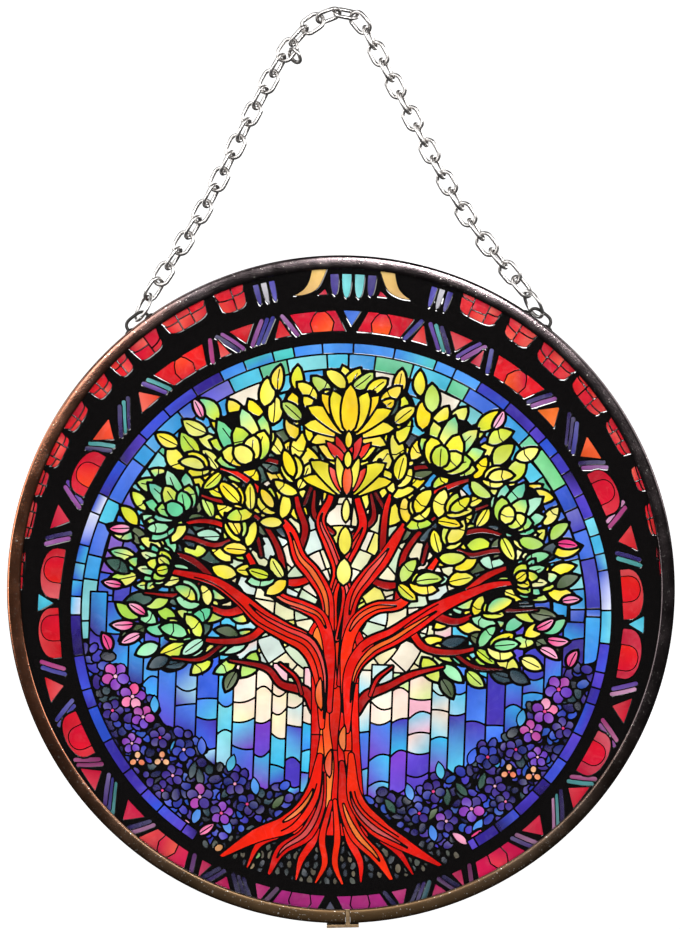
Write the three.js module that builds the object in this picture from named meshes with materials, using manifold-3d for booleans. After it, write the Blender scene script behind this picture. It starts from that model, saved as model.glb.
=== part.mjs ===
// Round stained-glass suncatcher: a leaded picture panel in a channel rim, hung on a cable chain.
// Millimetres, +Z up. The front faces -Y, +X is to the viewer's right, and the origin is the
// hanging point, under the topmost chain link, where a hook or nail carries the whole piece.
import * as THREE from 'three';
import { mergeVertices } from 'three/addons/utils/BufferGeometryUtils.js';
import Module from 'manifold-3d';

// ---- driving dimensions ----
const CLEARANCE = 0.3; // air kept between pieces that touch

// rim: a channel of folded strip, bent into a ring, open towards the centre
const RIM_RADIUS = 75; // outside of the ring
const RIM_LIP = 3.1; // width of the face that shows at the front
const RIM_DEPTH = 4.9; // front to back
const RIM_WEB = 0.8; // thickness of the outer wall
const RIM_CHAMFER = 0.4; // softened outer edges
const ROUND_SIDES = 96; // facets round the rim and the panel
const HANG_DROP = 128.4; // hanging point down to the rim's centre

// glass panel held in the channel
const GLASS_THICKNESS = 3;

// splice that closes the rim's joint at the bottom
const JOINT_ANGLE = 1.2; // degrees from straight down, towards +X
const JOINT_GAP = 1.6; // between the two cut ends of the rim
const SPLICE_LENGTH = 7.2;
const SPLICE_THICKNESS = 0.7;
const SPLICE_DEPTH = 4.3;
const SPLICE_OFFSET = -1.15; // the plate's centre from the joint, along the rim

// hanging loops on the rim, staples of black wire
const LOOP_ANGLES = { left: -37.3, right: 36.3 }; // degrees from the top, towards +X
const LOOP_WIRE = 0.75;
const LOOP_LENGTH = 6.4; // along the rim, outside
const LOOP_HEIGHT = 2.5; // out from the rim, outside
const LOOP_SINK = 0.05; // the rim curves away under the loop's feet by about this much
const LOOP_SQUARENESS = 0.6; // under 1 gives the loop a flatter top than an ellipse
const LOOP_BENDS = 12;
const LOOP_STEPS = 16; // cross-sections along the loop's wire

// jump rings between the loops and the chain
const RING_WIRE = 0.85;
const RING_DIAMETER = 7.45; // outside
const RING_LEAN = { left: 28, right: -30 }; // degrees from upright, towards +X
const RING_ROLL = { left: -70, right: -70 }; // degrees about the line of pull
const RING_SEAT = 1.0; // middle of the ring's wire above the rim, where it passes through its loop

// chain
const LINK_WIRE = 0.95;
const LINK_WIDTH = 4.5; // outside
const LINK_COUNT = 38;
const LINK_ROLLS = {
  left: { even: -16, odd: 68 }, // degrees about the chain's line; small ones show the opening
  right: { even: -70, odd: 18 },
};
const ROLL_DRIFT = 4; // small unevenness of the twist, degrees
const ROLL_DRIFT_STEP = 0.9; // radians of that unevenness from link to link
const APEX_LINK = 20; // link over the hook, counted from the left; here the chain turns over
const PLACED_ROLLS = { 1: 48, 19: 58, 20: -57, 21: 33, 38: -48 }; // links that lie between two planes
const LINK_BENDS = 12; // straight stretches round a link
const RING_BENDS = 24; // and round a jump ring
const WIRE_SIDES = 6;
const TAIL_RING_DIAMETER = 4.3; // small ring left dangling where the chain was closed
const TAIL_LINK = 16; // link that carries it, counted from the left
const TAIL_LEAN = 143; // degrees from straight up, towards +X
const TAIL_ROLL = 58;

// the chain's line from the left jump ring over the hook to the right one, [x, z];
// the two ends are worked out from the jump rings
const CHAIN_LINE = [
  [-31.1, -43.3],
  [-19.3, -20.0],
  [-11.8, -6.7],
  [-6.9, -1.4],
  [0.0, 1.5],
  [3.9, 0.0],
  [7.9, -7.0],
  [15.75, -21.8],
  [23.6, -36.6],
  [30.6, -47.8],
];

// ---- finishes ----
const gunmetal = () => new THREE.MeshStandardMaterial({ color: 0x4a403b, roughness: 0.35, metalness: 1 });
const blackWire = () => new THREE.MeshStandardMaterial({ color: 0x141210, roughness: 0.4, metalness: 0.8 });
const nickel = () => new THREE.MeshStandardMaterial({ color: 0xb9b4ae, roughness: 0.2, metalness: 1 });
const brass = () => new THREE.MeshStandardMaterial({ color: 0xa07f5a, roughness: 0.4, metalness: 1 });
const paintedGlass = () => new THREE.MeshStandardMaterial({ color: 0xc23a2a, roughness: 0.15, metalness: 0 });

const radians = THREE.MathUtils.degToRad;
const rimCentre = new THREE.Vector3(0, 0, -HANG_DROP);
const depthwise = new THREE.Vector3(0, 1, 0);

// ---- solids from closed meshes ----
const wasm = await Module();
wasm.setup();

const MERGE_TOLERANCE = 1e-4;

function toSolid(geometry) {
  const bare = geometry.clone();
  bare.deleteAttribute('normal');
  bare.deleteAttribute('uv');
  const merged = mergeVertices(bare, MERGE_TOLERANCE);
  const vertProperties = new Float32Array(merged.attributes.position.array);
  const triVerts = new Uint32Array(merged.index.array);
  return new wasm.Manifold(new wasm.Mesh({ numProp: 3, vertProperties, triVerts }));
}

function toGeometry(solid) {
  const mesh = solid.getMesh();
  const geometry = new THREE.BufferGeometry();
  geometry.setAttribute('position', new THREE.BufferAttribute(mesh.vertProperties, 3));
  geometry.setIndex(new THREE.BufferAttribute(mesh.triVerts, 1));
  geometry.computeVertexNormals();
  return geometry;
}

const group = new THREE.Group();

function add(name, geometry, material, position = new THREE.Vector3(), turn = new THREE.Quaternion()) {
  const mesh = new THREE.Mesh(geometry, material);
  mesh.name = name;
  mesh.position.copy(position);
  mesh.quaternion.copy(turn);
  group.add(mesh);
  return mesh;
}

// a direction in the plane of the panel, given as degrees from straight up towards +X
function heading(degrees) {
  return new THREE.Vector3(Math.sin(radians(degrees)), 0, Math.cos(radians(degrees)));
}

// the turn that lays local X along `along` and rolls local Y out of the panel's plane
function lie(along, rollDegrees) {
  const x = along.clone().normalize();
  const flatY = depthwise.clone().cross(x);
  const y = flatY.applyAxisAngle(x, radians(rollDegrees));
  const z = x.clone().cross(y);
  return new THREE.Quaternion().setFromRotationMatrix(new THREE.Matrix4().makeBasis(x, y, z));
}

// ---- rim ----
function rimGeometry() {
  const half = RIM_DEPTH / 2;
  const inside = RIM_RADIUS - RIM_LIP;
  const channelRadius = RIM_RADIUS - RIM_WEB;
  const channelHalf = GLASS_THICKNESS / 2 + CLEARANCE;
  const profile = [
    [inside, -half],
    [RIM_RADIUS - RIM_CHAMFER, -half],
    [RIM_RADIUS, -half + RIM_CHAMFER],
    [RIM_RADIUS, half - RIM_CHAMFER],
    [RIM_RADIUS - RIM_CHAMFER, half],
    [inside, half],
    [inside, channelHalf],
    [channelRadius, channelHalf],
    [channelRadius, -channelHalf],
    [inside, -channelHalf],
    [inside, -half],
  ];
  const ring = new THREE.LatheGeometry(profile.map(([r, y]) => new THREE.Vector2(r, y)), ROUND_SIDES);
  const cutterHeight = 3 * RIM_LIP;
  const cutter = new THREE.BoxGeometry(JOINT_GAP, 2 * RIM_DEPTH, cutterHeight);
  cutter.translate(0, 0, -RIM_RADIUS);
  cutter.rotateY(radians(-JOINT_ANGLE));
  return toGeometry(toSolid(ring).subtract(toSolid(cutter)));
}

// ---- panel ----
function panelGeometry() {
  const radius = RIM_RADIUS - RIM_WEB - CLEARANCE;
  return new THREE.CylinderGeometry(radius, radius, GLASS_THICKNESS, ROUND_SIDES);
}

// ---- splice: a plate under the joint with a tongue that fills the gap ----
function spliceGeometry() {
  const plateTop = -RIM_RADIUS - CLEARANCE;
  const plateMiddle = plateTop - SPLICE_THICKNESS / 2;
  const plate = new THREE.BoxGeometry(SPLICE_LENGTH, SPLICE_DEPTH, SPLICE_THICKNESS);
  plate.translate(SPLICE_OFFSET, 0, plateMiddle);
  // root of the tongue: between the cut ends of the outer wall, front to back
  const tongueWidth = JOINT_GAP - 2 * CLEARANCE;
  const rootHeight = -RIM_RADIUS - plateMiddle;
  const root = new THREE.BoxGeometry(tongueWidth, SPLICE_DEPTH, rootHeight);
  root.translate(0, 0, plateMiddle + rootHeight / 2);
  // tip of the tongue: it stands in front of the glass, as high as the rim's lip
  const tipThickness = (SPLICE_DEPTH - GLASS_THICKNESS) / 2 - CLEARANCE;
  const tipHeight = -RIM_RADIUS + RIM_LIP - plateMiddle;
  const tip = new THREE.BoxGeometry(tongueWidth, tipThickness, tipHeight);
  tip.translate(0, -SPLICE_DEPTH / 2 + tipThickness / 2, plateMiddle + tipHeight / 2);
  const splice = toGeometry(toSolid(plate).add(toSolid(root)).add(toSolid(tip)));
  splice.rotateY(radians(-JOINT_ANGLE));
  return splice;
}

// ---- hanging loops: half an oval of wire, feet on the rim ----
function loopGeometry() {
  const halfLength = (LOOP_LENGTH - LOOP_WIRE) / 2;
  const height = LOOP_HEIGHT - LOOP_WIRE / 2;
  const foot = CLEARANCE - LOOP_SINK;
  const points = [];
  for (let i = 0; i <= LOOP_BENDS; i += 1) {
    const angle = Math.PI * (1 - i / LOOP_BENDS);
    const along = Math.sign(Math.cos(angle)) * Math.abs(Math.cos(angle)) ** LOOP_SQUARENESS * halfLength;
    const out = foot + Math.abs(Math.sin(angle)) ** LOOP_SQUARENESS * (height - foot);
    points.push(new THREE.Vector3(along, 0, i === 0 || i === LOOP_BENDS ? foot : out));
  }
  const path = new THREE.CatmullRomCurve3(points);
  const section = new THREE.Shape();
  for (let i = 0; i < WIRE_SIDES; i += 1) {
    const angle = (2 * Math.PI * i) / WIRE_SIDES;
    const x = (LOOP_WIRE / 2) * Math.cos(angle);
    const y = (LOOP_WIRE / 2) * Math.sin(angle);
    if (i === 0) section.moveTo(x, y);
    else section.lineTo(x, y);
  }
  section.closePath();
  return new THREE.ExtrudeGeometry(section, { steps: LOOP_STEPS, bevelEnabled: false, extrudePath: path });
}

// ---- round rings and oval links ----
function ringGeometry(diameter, wire, bends) {
  return new THREE.TorusGeometry((diameter - wire) / 2, wire / 2, WIRE_SIDES, bends);
}

// a link is a round ring of the link's width, pulled longer along X
function linkGeometry(length) {
  const geometry = ringGeometry(LINK_WIDTH, LINK_WIRE, LINK_BENDS);
  const pull = (length - LINK_WIDTH) / 2;
  const middle = 1e-6; // points this near the middle stay where they are
  const position = geometry.attributes.position;
  for (let i = 0; i < position.count; i += 1) {
    const x = position.getX(i);
    if (Math.abs(x) > middle) position.setX(i, x + Math.sign(x) * pull);
  }
  return geometry;
}

// centre of a jump ring that hangs up from its loop
function jumpRingCentre(side) {
  const seat = rimCentre.clone().addScaledVector(heading(LOOP_ANGLES[side]), RIM_RADIUS + RING_SEAT);
  return seat.addScaledVector(heading(RING_LEAN[side]), (RING_DIAMETER - RING_WIRE) / 2);
}

// where the chain's end link bears inside a jump ring: the middle of the air between the two wires
function chainEnd(side) {
  const wireLine = (RING_DIAMETER - RING_WIRE) / 2;
  const bearing = wireLine - (RING_WIRE + LINK_WIRE + 2 * CLEARANCE) / 4;
  return jumpRingCentre(side).addScaledVector(heading(RING_LEAN[side]), bearing);
}

// ---- assembly ----
add('rim_channel', rimGeometry(), gunmetal(), rimCentre);
add('picture_glass_panel', panelGeometry(), paintedGlass(), rimCentre);
add('rim_splice', spliceGeometry(), brass(), rimCentre);

for (const side of ['left', 'right']) {
  const outward = heading(LOOP_ANGLES[side]);
  const seat = rimCentre.clone().addScaledVector(outward, RIM_RADIUS);
  const turn = new THREE.Quaternion().setFromAxisAngle(depthwise, radians(LOOP_ANGLES[side]));
  add(`hanging_loop_${side}`, loopGeometry(), blackWire(), seat, turn);
  const ring = ringGeometry(RING_DIAMETER, RING_WIRE, RING_BENDS);
  const ringTurn = lie(heading(RING_LEAN[side]), RING_ROLL[side]);
  add(`jump_ring_${side}`, ring, nickel(), jumpRingCentre(side), ringTurn);
}

const linePoints = [
  chainEnd('left'),
  ...CHAIN_LINE.map(([x, z]) => new THREE.Vector3(x, 0, z)),
  chainEnd('right'),
];
const chainLine = new THREE.CatmullRomCurve3(linePoints, false, 'centripetal');
const pivots = chainLine.getSpacedPoints(LINK_COUNT);
const pitch = chainLine.getLength() / LINK_COUNT;
const linkLength = pitch + 2 * LINK_WIRE + CLEARANCE;

for (let i = 0; i < LINK_COUNT; i += 1) {
  const centre = pivots[i].clone().lerp(pivots[i + 1], 0.5);
  const along = pivots[i + 1].clone().sub(pivots[i]);
  const number = i + 1;
  const rolls = number < APEX_LINK ? LINK_ROLLS.left : LINK_ROLLS.right;
  const drift = ROLL_DRIFT * Math.sin(i * ROLL_DRIFT_STEP);
  const roll = PLACED_ROLLS[number] ?? (number % 2 === 0 ? rolls.even : rolls.odd) + drift;
  const name = `chain_link_${String(number).padStart(2, '0')}`;
  add(name, linkGeometry(linkLength), nickel(), centre, lie(along, roll));
}

// the spare ring hangs from the lower side wire of its link
const carrier = group.getObjectByName(`chain_link_${TAIL_LINK}`);
const sideWire = new THREE.Vector3(0, (LINK_WIDTH - LINK_WIRE) / 2, 0).applyQuaternion(carrier.quaternion);
const tailReach = (TAIL_RING_DIAMETER - LINK_WIRE) / 2 - LINK_WIRE - CLEARANCE;
const tailCentre = carrier.position.clone().add(sideWire).addScaledVector(heading(TAIL_LEAN), tailReach);
const tailRing = ringGeometry(TAIL_RING_DIAMETER, LINK_WIRE, LINK_BENDS);
add('chain_tail_ring', tailRing, nickel(), tailCentre, lie(heading(TAIL_LEAN), TAIL_ROLL));

export default group;
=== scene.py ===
"""A round stained-glass suncatcher that hangs by a cable chain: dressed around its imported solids.

A leaded picture of a tree of life sits in a dark channel rim. The picture is drawn with code as panes
and leads, and is then cut into a thin sheet of coloured glass with raised leading on it.
"""
import math
import random

import bmesh
import bpy
import numpy as np
from bpy.props import FloatProperty, FloatVectorProperty, IntProperty, PointerProperty
from mathutils import Matrix, Vector
from mathutils.geometry import delaunay_2d_cdt


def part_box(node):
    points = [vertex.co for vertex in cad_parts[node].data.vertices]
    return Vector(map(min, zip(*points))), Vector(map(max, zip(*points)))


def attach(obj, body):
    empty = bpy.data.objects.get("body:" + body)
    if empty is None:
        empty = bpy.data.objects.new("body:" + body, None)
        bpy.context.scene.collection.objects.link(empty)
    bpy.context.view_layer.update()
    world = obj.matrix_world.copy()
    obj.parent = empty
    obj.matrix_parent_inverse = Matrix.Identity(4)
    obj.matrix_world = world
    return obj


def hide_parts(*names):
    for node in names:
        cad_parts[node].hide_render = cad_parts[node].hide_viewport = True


bl_info = {
    "name": "Stained Glass Suncatcher",
    "version": (1, 0, 0),
    "blender": (4, 5, 0),
    "location": "3D View > Sidebar > Suncatcher",
    "description": "Builds a leaded round picture panel in a channel rim, on its chain",
    "category": "Add Mesh",
}

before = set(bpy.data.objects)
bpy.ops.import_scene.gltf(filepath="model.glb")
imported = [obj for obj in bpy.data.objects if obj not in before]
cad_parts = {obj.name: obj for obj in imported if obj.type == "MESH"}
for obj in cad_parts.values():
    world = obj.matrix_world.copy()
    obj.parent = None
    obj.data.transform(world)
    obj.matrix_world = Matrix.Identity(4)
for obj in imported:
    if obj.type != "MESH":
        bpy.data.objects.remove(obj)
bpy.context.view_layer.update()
MM = 0.001
RIM_LOW, RIM_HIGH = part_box("rim_channel")
GLASS_LOW, GLASS_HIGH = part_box("picture_glass_panel")
RIM_RADIUS = (RIM_HIGH.x - RIM_LOW.x) / 2
CENTRE = Vector(((RIM_LOW.x + RIM_HIGH.x) / 2, 0, (RIM_LOW.z + RIM_HIGH.z) / 2))

# in millimetres: the panel, the coloured sheet on it, that sheet's edge of lead, and the drawing's grid
PANEL_RADIUS = (GLASS_HIGH.x - GLASS_LOW.x) / 2 / MM
SHEET_RADIUS = PANEL_RADIUS - 0.3
LEAD_EDGE = 0.8
STEP = 0.15

# the leading's foot is sunk this far in the coloured sheet, and the clear sheet lies this far behind it
SUNK = 0.02 * MM


def srgb(text):
    """#rrggbb as three linear-light numbers."""
    values = [int(text[i:i + 2], 16) / 255 for i in (1, 3, 5)]
    return tuple(v / 12.92 if v <= 0.04045 else ((v + 0.055) / 1.055) ** 2.4 for v in values)


def mix(first, second, share):
    """The colour that lies this share of the way from the first to the second."""
    return tuple(a + (b - a) * share for a, b in zip(first, second))


class Canvas:
    """A drawing of panes and leads, held as distances: above zero in a pane, below zero in lead."""

    def __init__(self, radius, step, centre, tilt):
        self.step = step
        self.low = -radius - 4 * step
        count = int(2 * -self.low / step) + 1
        self.line = self.low + step * np.arange(count, dtype=np.float32)
        self.gap = np.full((count, count), -1.0, np.float32)
        self.pane = np.zeros((count, count), np.int32)
        self.tints = [None]
        self.chance = random.Random(3)
        self.centre = centre
        self.turn = (math.cos(tilt), math.sin(tilt))

    def place(self, points):
        """Picture coordinates to panel coordinates."""
        cos, sin = self.turn
        return np.array([(self.centre[0] + x * cos - y * sin, self.centre[1] + x * sin + y * cos)
                         for x, y in points])

    def window(self, low, high, margin):
        """The grid cells round a box with a margin, and each cell's place across and up."""
        first = np.maximum(((np.array(low) - margin - self.low) / self.step).astype(int), 1)
        last = np.minimum(((np.array(high) + margin - self.low) / self.step).astype(int) + 2,
                          len(self.line) - 1)
        if (last <= first).any():
            return None, None, None
        rows, columns = slice(first[1], last[1]), slice(first[0], last[0])
        across, up = np.meshgrid(self.line[columns], self.line[rows])
        return (rows, columns), across, up

    def lay(self, spot, distance, tint, lead):
        """Lays a pane where distance is negative, with lead round it."""
        gap = self.gap[spot]
        half = lead / 2
        if tint is None:
            self.gap[spot] = np.minimum(gap, distance)
            return
        inside = distance < 0
        self.gap[spot] = np.where(inside, -distance - half, np.minimum(gap, distance - half))
        self.tints.append(self.fade(tint))
        self.pane[spot][inside] = len(self.tints) - 1

    def fade(self, tint):
        """A pane's colour at its two ends and the way from one to the other, in degrees."""
        if isinstance(tint[0], tuple):
            return tint
        lighter = mix(tint, (1, 1, 1), 0.02 + 0.1 * self.chance.random() ** 2)
        return (mix(tint, (0, 0, 0), 0.16), lighter, 360 * self.chance.random())

    def shape(self, points, tint, lead=0.45):
        """A pane with a straight-sided or finely stepped outline; no tint makes it all lead."""
        corners = self.place(points)
        spot, across, up = self.window(corners.min(0), corners.max(0), lead + 1)
        if spot is None:
            return
        nearest = np.full(across.shape, 1e9, np.float32)
        crossings = np.zeros(across.shape, bool)
        for (x0, y0), (x1, y1) in zip(corners, np.roll(corners, -1, 0)):
            run, rise = x1 - x0, y1 - y0
            length = run * run + rise * rise
            if length < 1e-12:
                continue
            share = np.clip(((across - x0) * run + (up - y0) * rise) / length, 0, 1)
            apart = (across - x0 - share * run) ** 2 + (up - y0 - share * rise) ** 2
            nearest = np.minimum(nearest, apart)
            if y0 != y1:
                side = (up < y0) != (up < y1)
                crossings ^= side & (across < x0 + (up - y0) * run / rise)
        distance = np.sqrt(nearest) * np.where(crossings, -1, 1)
        self.lay(spot, distance, tint, lead)

    def ribbon(self, points, widths, tint, lead=0.45):
        """A pane that runs along a line, with its own width at each point."""
        path = self.place(points)
        radii = np.array(widths) / 2
        spot, across, up = self.window(path.min(0), path.max(0), radii.max() + lead + 1)
        if spot is None:
            return
        distance = np.full(across.shape, 1e3, np.float32)
        reach = radii.max() + lead + 0.8
        left, bottom = across[0, 0], up[0, 0]
        for (x0, y0), (x1, y1), r0, r1 in zip(path[:-1], path[1:], radii[:-1], radii[1:]):
            run, rise = x1 - x0, y1 - y0
            length = max(run * run + rise * rise, 1e-9)
            c0 = max(int((min(x0, x1) - reach - left) / self.step), 0)
            c1 = int((max(x0, x1) + reach - left) / self.step) + 1
            w0 = max(int((min(y0, y1) - reach - bottom) / self.step), 0)
            w1 = int((max(y0, y1) + reach - bottom) / self.step) + 1
            if c1 <= 0 or w1 <= 0:
                continue
            part = (slice(w0, w1), slice(c0, c1))
            x, y = across[part], up[part]
            share = np.clip(((x - x0) * run + (y - y0) * rise) / length, 0, 1)
            apart = np.sqrt((x - x0 - share * run) ** 2 + (y - y0 - share * rise) ** 2)
            distance[part] = np.minimum(distance[part], apart - r0 - share * (r1 - r0))
        self.lay(spot, distance, tint, lead)

    def score(self, points, lead=0.3):
        """A thin line of lead drawn across what is there."""
        self.ribbon(points, [lead] * len(points), None)

    def ring(self, inner, outer):
        """A round band of lead about the picture's centre."""
        spot, across, up = self.window([-outer - 9] * 2, [outer + 9] * 2, 0)
        reach = np.hypot(across - self.centre[0], up - self.centre[1])
        distance = np.maximum(inner - reach, reach - outer)
        self.lay(spot, distance, None, 0)

    def ease(self, rounds=5):
        """Lets wide leads fall away evenly from the edges of the panes beside them."""
        for _ in range(rounds):
            for across, up in ((1, 0), (-1, 0), (0, 1), (0, -1), (1, 1), (-1, -1), (1, -1), (-1, 1)):
                neighbour = np.roll(self.gap, (up, across), (0, 1))
                eased = np.maximum(self.gap, neighbour - self.step * math.hypot(across, up))
                self.gap = np.where((self.gap < 0) & (neighbour < 0), eased, self.gap)


# ---- lines and outlines ----
def curve(points, steps=6):
    """A smooth line through the points."""
    points = [np.array(p, float) for p in points]
    ends = [2 * points[0] - points[1]] + points + [2 * points[-1] - points[-2]]
    line = []
    for a, b, c, d in zip(ends, ends[1:], ends[2:], ends[3:]):
        for i in range(steps):
            t = i / steps
            line.append(0.5 * (2 * b + (c - a) * t + (2 * a - 5 * b + 4 * c - d) * t * t
                               + (3 * b - a - 3 * c + d) * t ** 3))
    return line + [points[-1]]


def polar(degrees, radius):
    """The point at this radius and this many degrees clockwise from the top."""
    angle = math.radians(degrees)
    return (radius * math.sin(angle), radius * math.cos(angle))


def along(angle, length, across=0.0, origin=(0, 0)):
    """From origin, length on at this heading and across to its left; angle from +X, degrees."""
    cos, sin = math.cos(math.radians(angle)), math.sin(math.radians(angle))
    return (origin[0] + length * cos - across * sin, origin[1] + length * sin + across * cos)


def leaf_outline(base, angle, length, width, bend=0.0, fullness=0.8):
    """A pointed oval from its stalk end."""
    steps = 7
    spine = [(length * i / steps, bend * math.sin(math.pi * i / steps)) for i in range(steps + 1)]
    swell = [width / 2 * math.sin(math.pi * (i / steps) ** 0.9) ** fullness for i in range(steps + 1)]
    one = [along(angle, x, y + s, base) for (x, y), s in zip(spine, swell)]
    other = [along(angle, x, y - s, base) for (x, y), s in zip(spine, swell)]
    return one + other[-2:0:-1]


def disc_outline(centre, radius, stretch=1.0, angle=0.0, steps=12):
    """A circle, or an oval that is stretched along this angle."""
    return [along(angle, radius * stretch * math.cos(2 * math.pi * i / steps),
                  radius * math.sin(2 * math.pi * i / steps), centre) for i in range(steps)]


# ---- colours ----
PALE = [srgb(c) for c in ("#f3e9c4", "#efe3cf", "#e6e6b8", "#cfe0c0", "#f1e3b0", "#d5e4dc")]
SKY = [srgb(c) for c in ("#3f6fdc", "#3a9fe0", "#4fc3e0", "#5e58cf", "#8156c4", "#2f55c8", "#7fd0d6",
                         "#4442b8")]
DEEP = [srgb(c) for c in ("#3b35ad", "#3f50cc", "#33248a", "#4738b6", "#2c4fc4", "#241a55", "#5a43c4")]
LEAF_SUN = [srgb(c) for c in ("#f2df22", "#f4e544", "#e8dc2c", "#f5d51e", "#efe24f")]
LEAF_LIME = [srgb(c) for c in ("#cfdc38", "#b8d451", "#dfe060", "#a5cf4d", "#efe66f")]
LEAF_MINT = [srgb(c) for c in ("#78cf8c", "#63c495", "#93d9a5", "#58b8a2", "#a9dcc0", "#e9e7a0")]
LEAF_SHADE = [srgb(c) for c in ("#35584d", "#4c5f3c", "#2c4450", "#5d6b46", "#39414a", "#6f7a52")]
BARK = [srgb(c) for c in ("#e01c0e", "#cf130e", "#ea300e", "#bd100e", "#e6240c")]
BARK_LIGHT = [srgb(c) for c in ("#f06a20", "#f27a2e", "#ee4e14", "#f28a3c")]
BARK_DARK = [srgb(c) for c in ("#7d0f12", "#931210", "#641014")]
PINK = [srgb(c) for c in ("#f27fae", "#f5a3c4", "#e8458c", "#f3b7cf", "#d92f78")]
BLOOM = [srgb(c) for c in ("#263098", "#323fae", "#1f2674", "#3a2584", "#443090", "#231b62", "#181c4c",
                           "#2850b0")]
MAUVE = [srgb(c) for c in ("#8a3cb8", "#b045ae", "#6f3cc0", "#c04aa4")]
CRIMSON = [srgb(c) for c in ("#d01422", "#c8102c", "#da1e18", "#c00e34", "#cc162a")]
EMBER = [srgb(c) for c in ("#ee5a1c", "#f0701f", "#ea4520")]
RIBBONS = [srgb(c) for c in ("#8f4c96", "#2c1d66", "#4d9c9c", "#a83a7c", "#3f3a92", "#5e3c98", "#c485b0",
                             "#33265e")]
GOLD = [srgb(c) for c in ("#d9ab52", "#cfa76a", "#e2bd6c")]
STONE = [srgb(c) for c in ("#3f4648", "#4d524a", "#5a5446", "#343a44", "#6b6250", "#2e3340")]

# the picture's centre and lean on the panel, and its rings about that centre, in millimetres and degrees
PICTURE_SHIFT = (0.02, -5.5)
PICTURE_TILT = -2.1
TILE_INNER, TILE_OUTER = 58.4, 60.9
BAND_INNER, BAND_OUTER = 63.2, 68.4
RING_OUTER = 71.6
# where the rim's lip begins, from the panel's centre
RIM_REACH = 71.9


def pick(chance, colours):
    """One of the colours, by chance."""
    return colours[int(chance.random() * len(colours))]


# ---- sky, behind everything ----
def sky_tint(chance, x, y):
    """A sky pane's colour: pale at the heart of the tree, shaded behind the crown and blue beyond it."""
    side = abs(x)
    if y > 40 and side < 24:
        return pick(chance, PALE[1:2] + SKY[1:3] + SKY[2:3] + SKY[6:7] + LEAF_MINT[:2])
    if side < 30 - 0.2 * abs(y) and -20 < y < 30:
        return pick(chance, PALE + PALE + PALE + LEAF_LIME[2:3] + LEAF_LIME[4:])
    if math.hypot(side / 46, (y - 10) / 34) < 1:
        return pick(chance, LEAF_SHADE + LEAF_SHADE[:3] + SKY[1:2])
    return pick(chance, SKY + SKY[:3] + (LEAF_MINT[:2] if y > 26 else []))


def draw_sky(canvas):
    """Curved panes in rings, which follow the tiles round the scene."""
    chance = random.Random(5)
    radii = (0.5, 6.0, 10.5, 15.0, 19.8, 24.6, 29.4, 34.2, 39.0, 43.4, 47.6, 51.4, 55.0, TILE_INNER + 0.5)
    for inner, outer in zip(radii, radii[1:]):
        cells = max(int(2 * math.pi * outer / (4.6 + 2.6 * outer / 60)), 5)
        edges = [360 * (i + 0.7 * (chance.random() - 0.5)) / cells for i in range(cells)]
        edges.append(edges[0] + 360)
        for first, last in zip(edges, edges[1:]):
            x, y = polar((first + last) / 2, (inner + outer) / 2)
            bulge = (chance.random() - 0.5) * 1.2
            arc = [polar(first + (last - first) * t / 4, outer + bulge * math.sin(math.pi * t / 4))
                   for t in range(5)]
            back = [polar(last + (first - last) * t / 4, inner) for t in range(5)]
            canvas.shape(arc + back, sky_tint(chance, x, y), 0.46)


STRIP_COLOURS = {
    "far": [srgb(c) for c in ("#3f3fb4", "#3f86e0", "#3b2f8e", "#46a7e2", "#5a4cc6", "#3aa0e0")],
    "middle": [srgb(c) for c in ("#3b62d6", "#56c2e4", "#4038b0", "#7fd2d8", "#9fd0e6", "#4f86e8",
                                 "#4a36ad")],
    "near": [srgb(c) for c in ("#c9e6b4", "#f4dfc0", "#7fcfe6", "#f2dcc8", "#f0b7c8", "#d9ea9a", "#bfe3e6",
                               "#f3d2c8", "#f2e8b8", "#f7e6d2")],
    "foot": [srgb(c) for c in ("#7a3fc0", "#38b4e0", "#3f86e0", "#6a4cd0", "#5cc6e6", "#4c3ab8")],
}


def draw_strips(canvas):
    """Upright strips of light between the undergrowth and the lowest leaves."""
    chance = random.Random(29)
    for side in (-1, 1):
        x = 3.4
        while x < 55:
            width = 3.4 + 1.8 * chance.random()
            zone = "near" if x < 23 else "middle" if x < 34 else "far"
            y = -11.0 - 4 * chance.random() if x < 16 else 3.0 * chance.random()
            foot = thicket_top(x + width / 2) - 3
            line = [(side * (x + width * t / 6), y) for t in range(7)]
            while y > foot:
                y -= 3.4 + (5.5 if zone == "near" else 10.0) * chance.random()
                tilt = (chance.random() - 0.5) * 3.0
                bulge = (chance.random() - 0.5) * 2.4
                low = zone == "near" and y < -31
                colours = STRIP_COLOURS["foot" if low else zone]
                fade = (pick(chance, colours), pick(chance, colours), 90 + 120 * (chance.random() - 0.5))
                cut = [(side * (x + width * t / 6), y + tilt * t / 6 + bulge * math.sin(math.pi * t / 6))
                       for t in range(7)]
                canvas.shape(line + cut[::-1], fade, 0.44)
                line = cut
            x += width


# ---- undergrowth ----
def thicket_top(x):
    """How high the undergrowth reaches at this distance from the trunk."""
    side = abs(x)
    return -40.0 + 31.5 * max(0, (side - 14) / 42) ** 1.35 + 1.3 * math.sin(side * 0.62)


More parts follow.
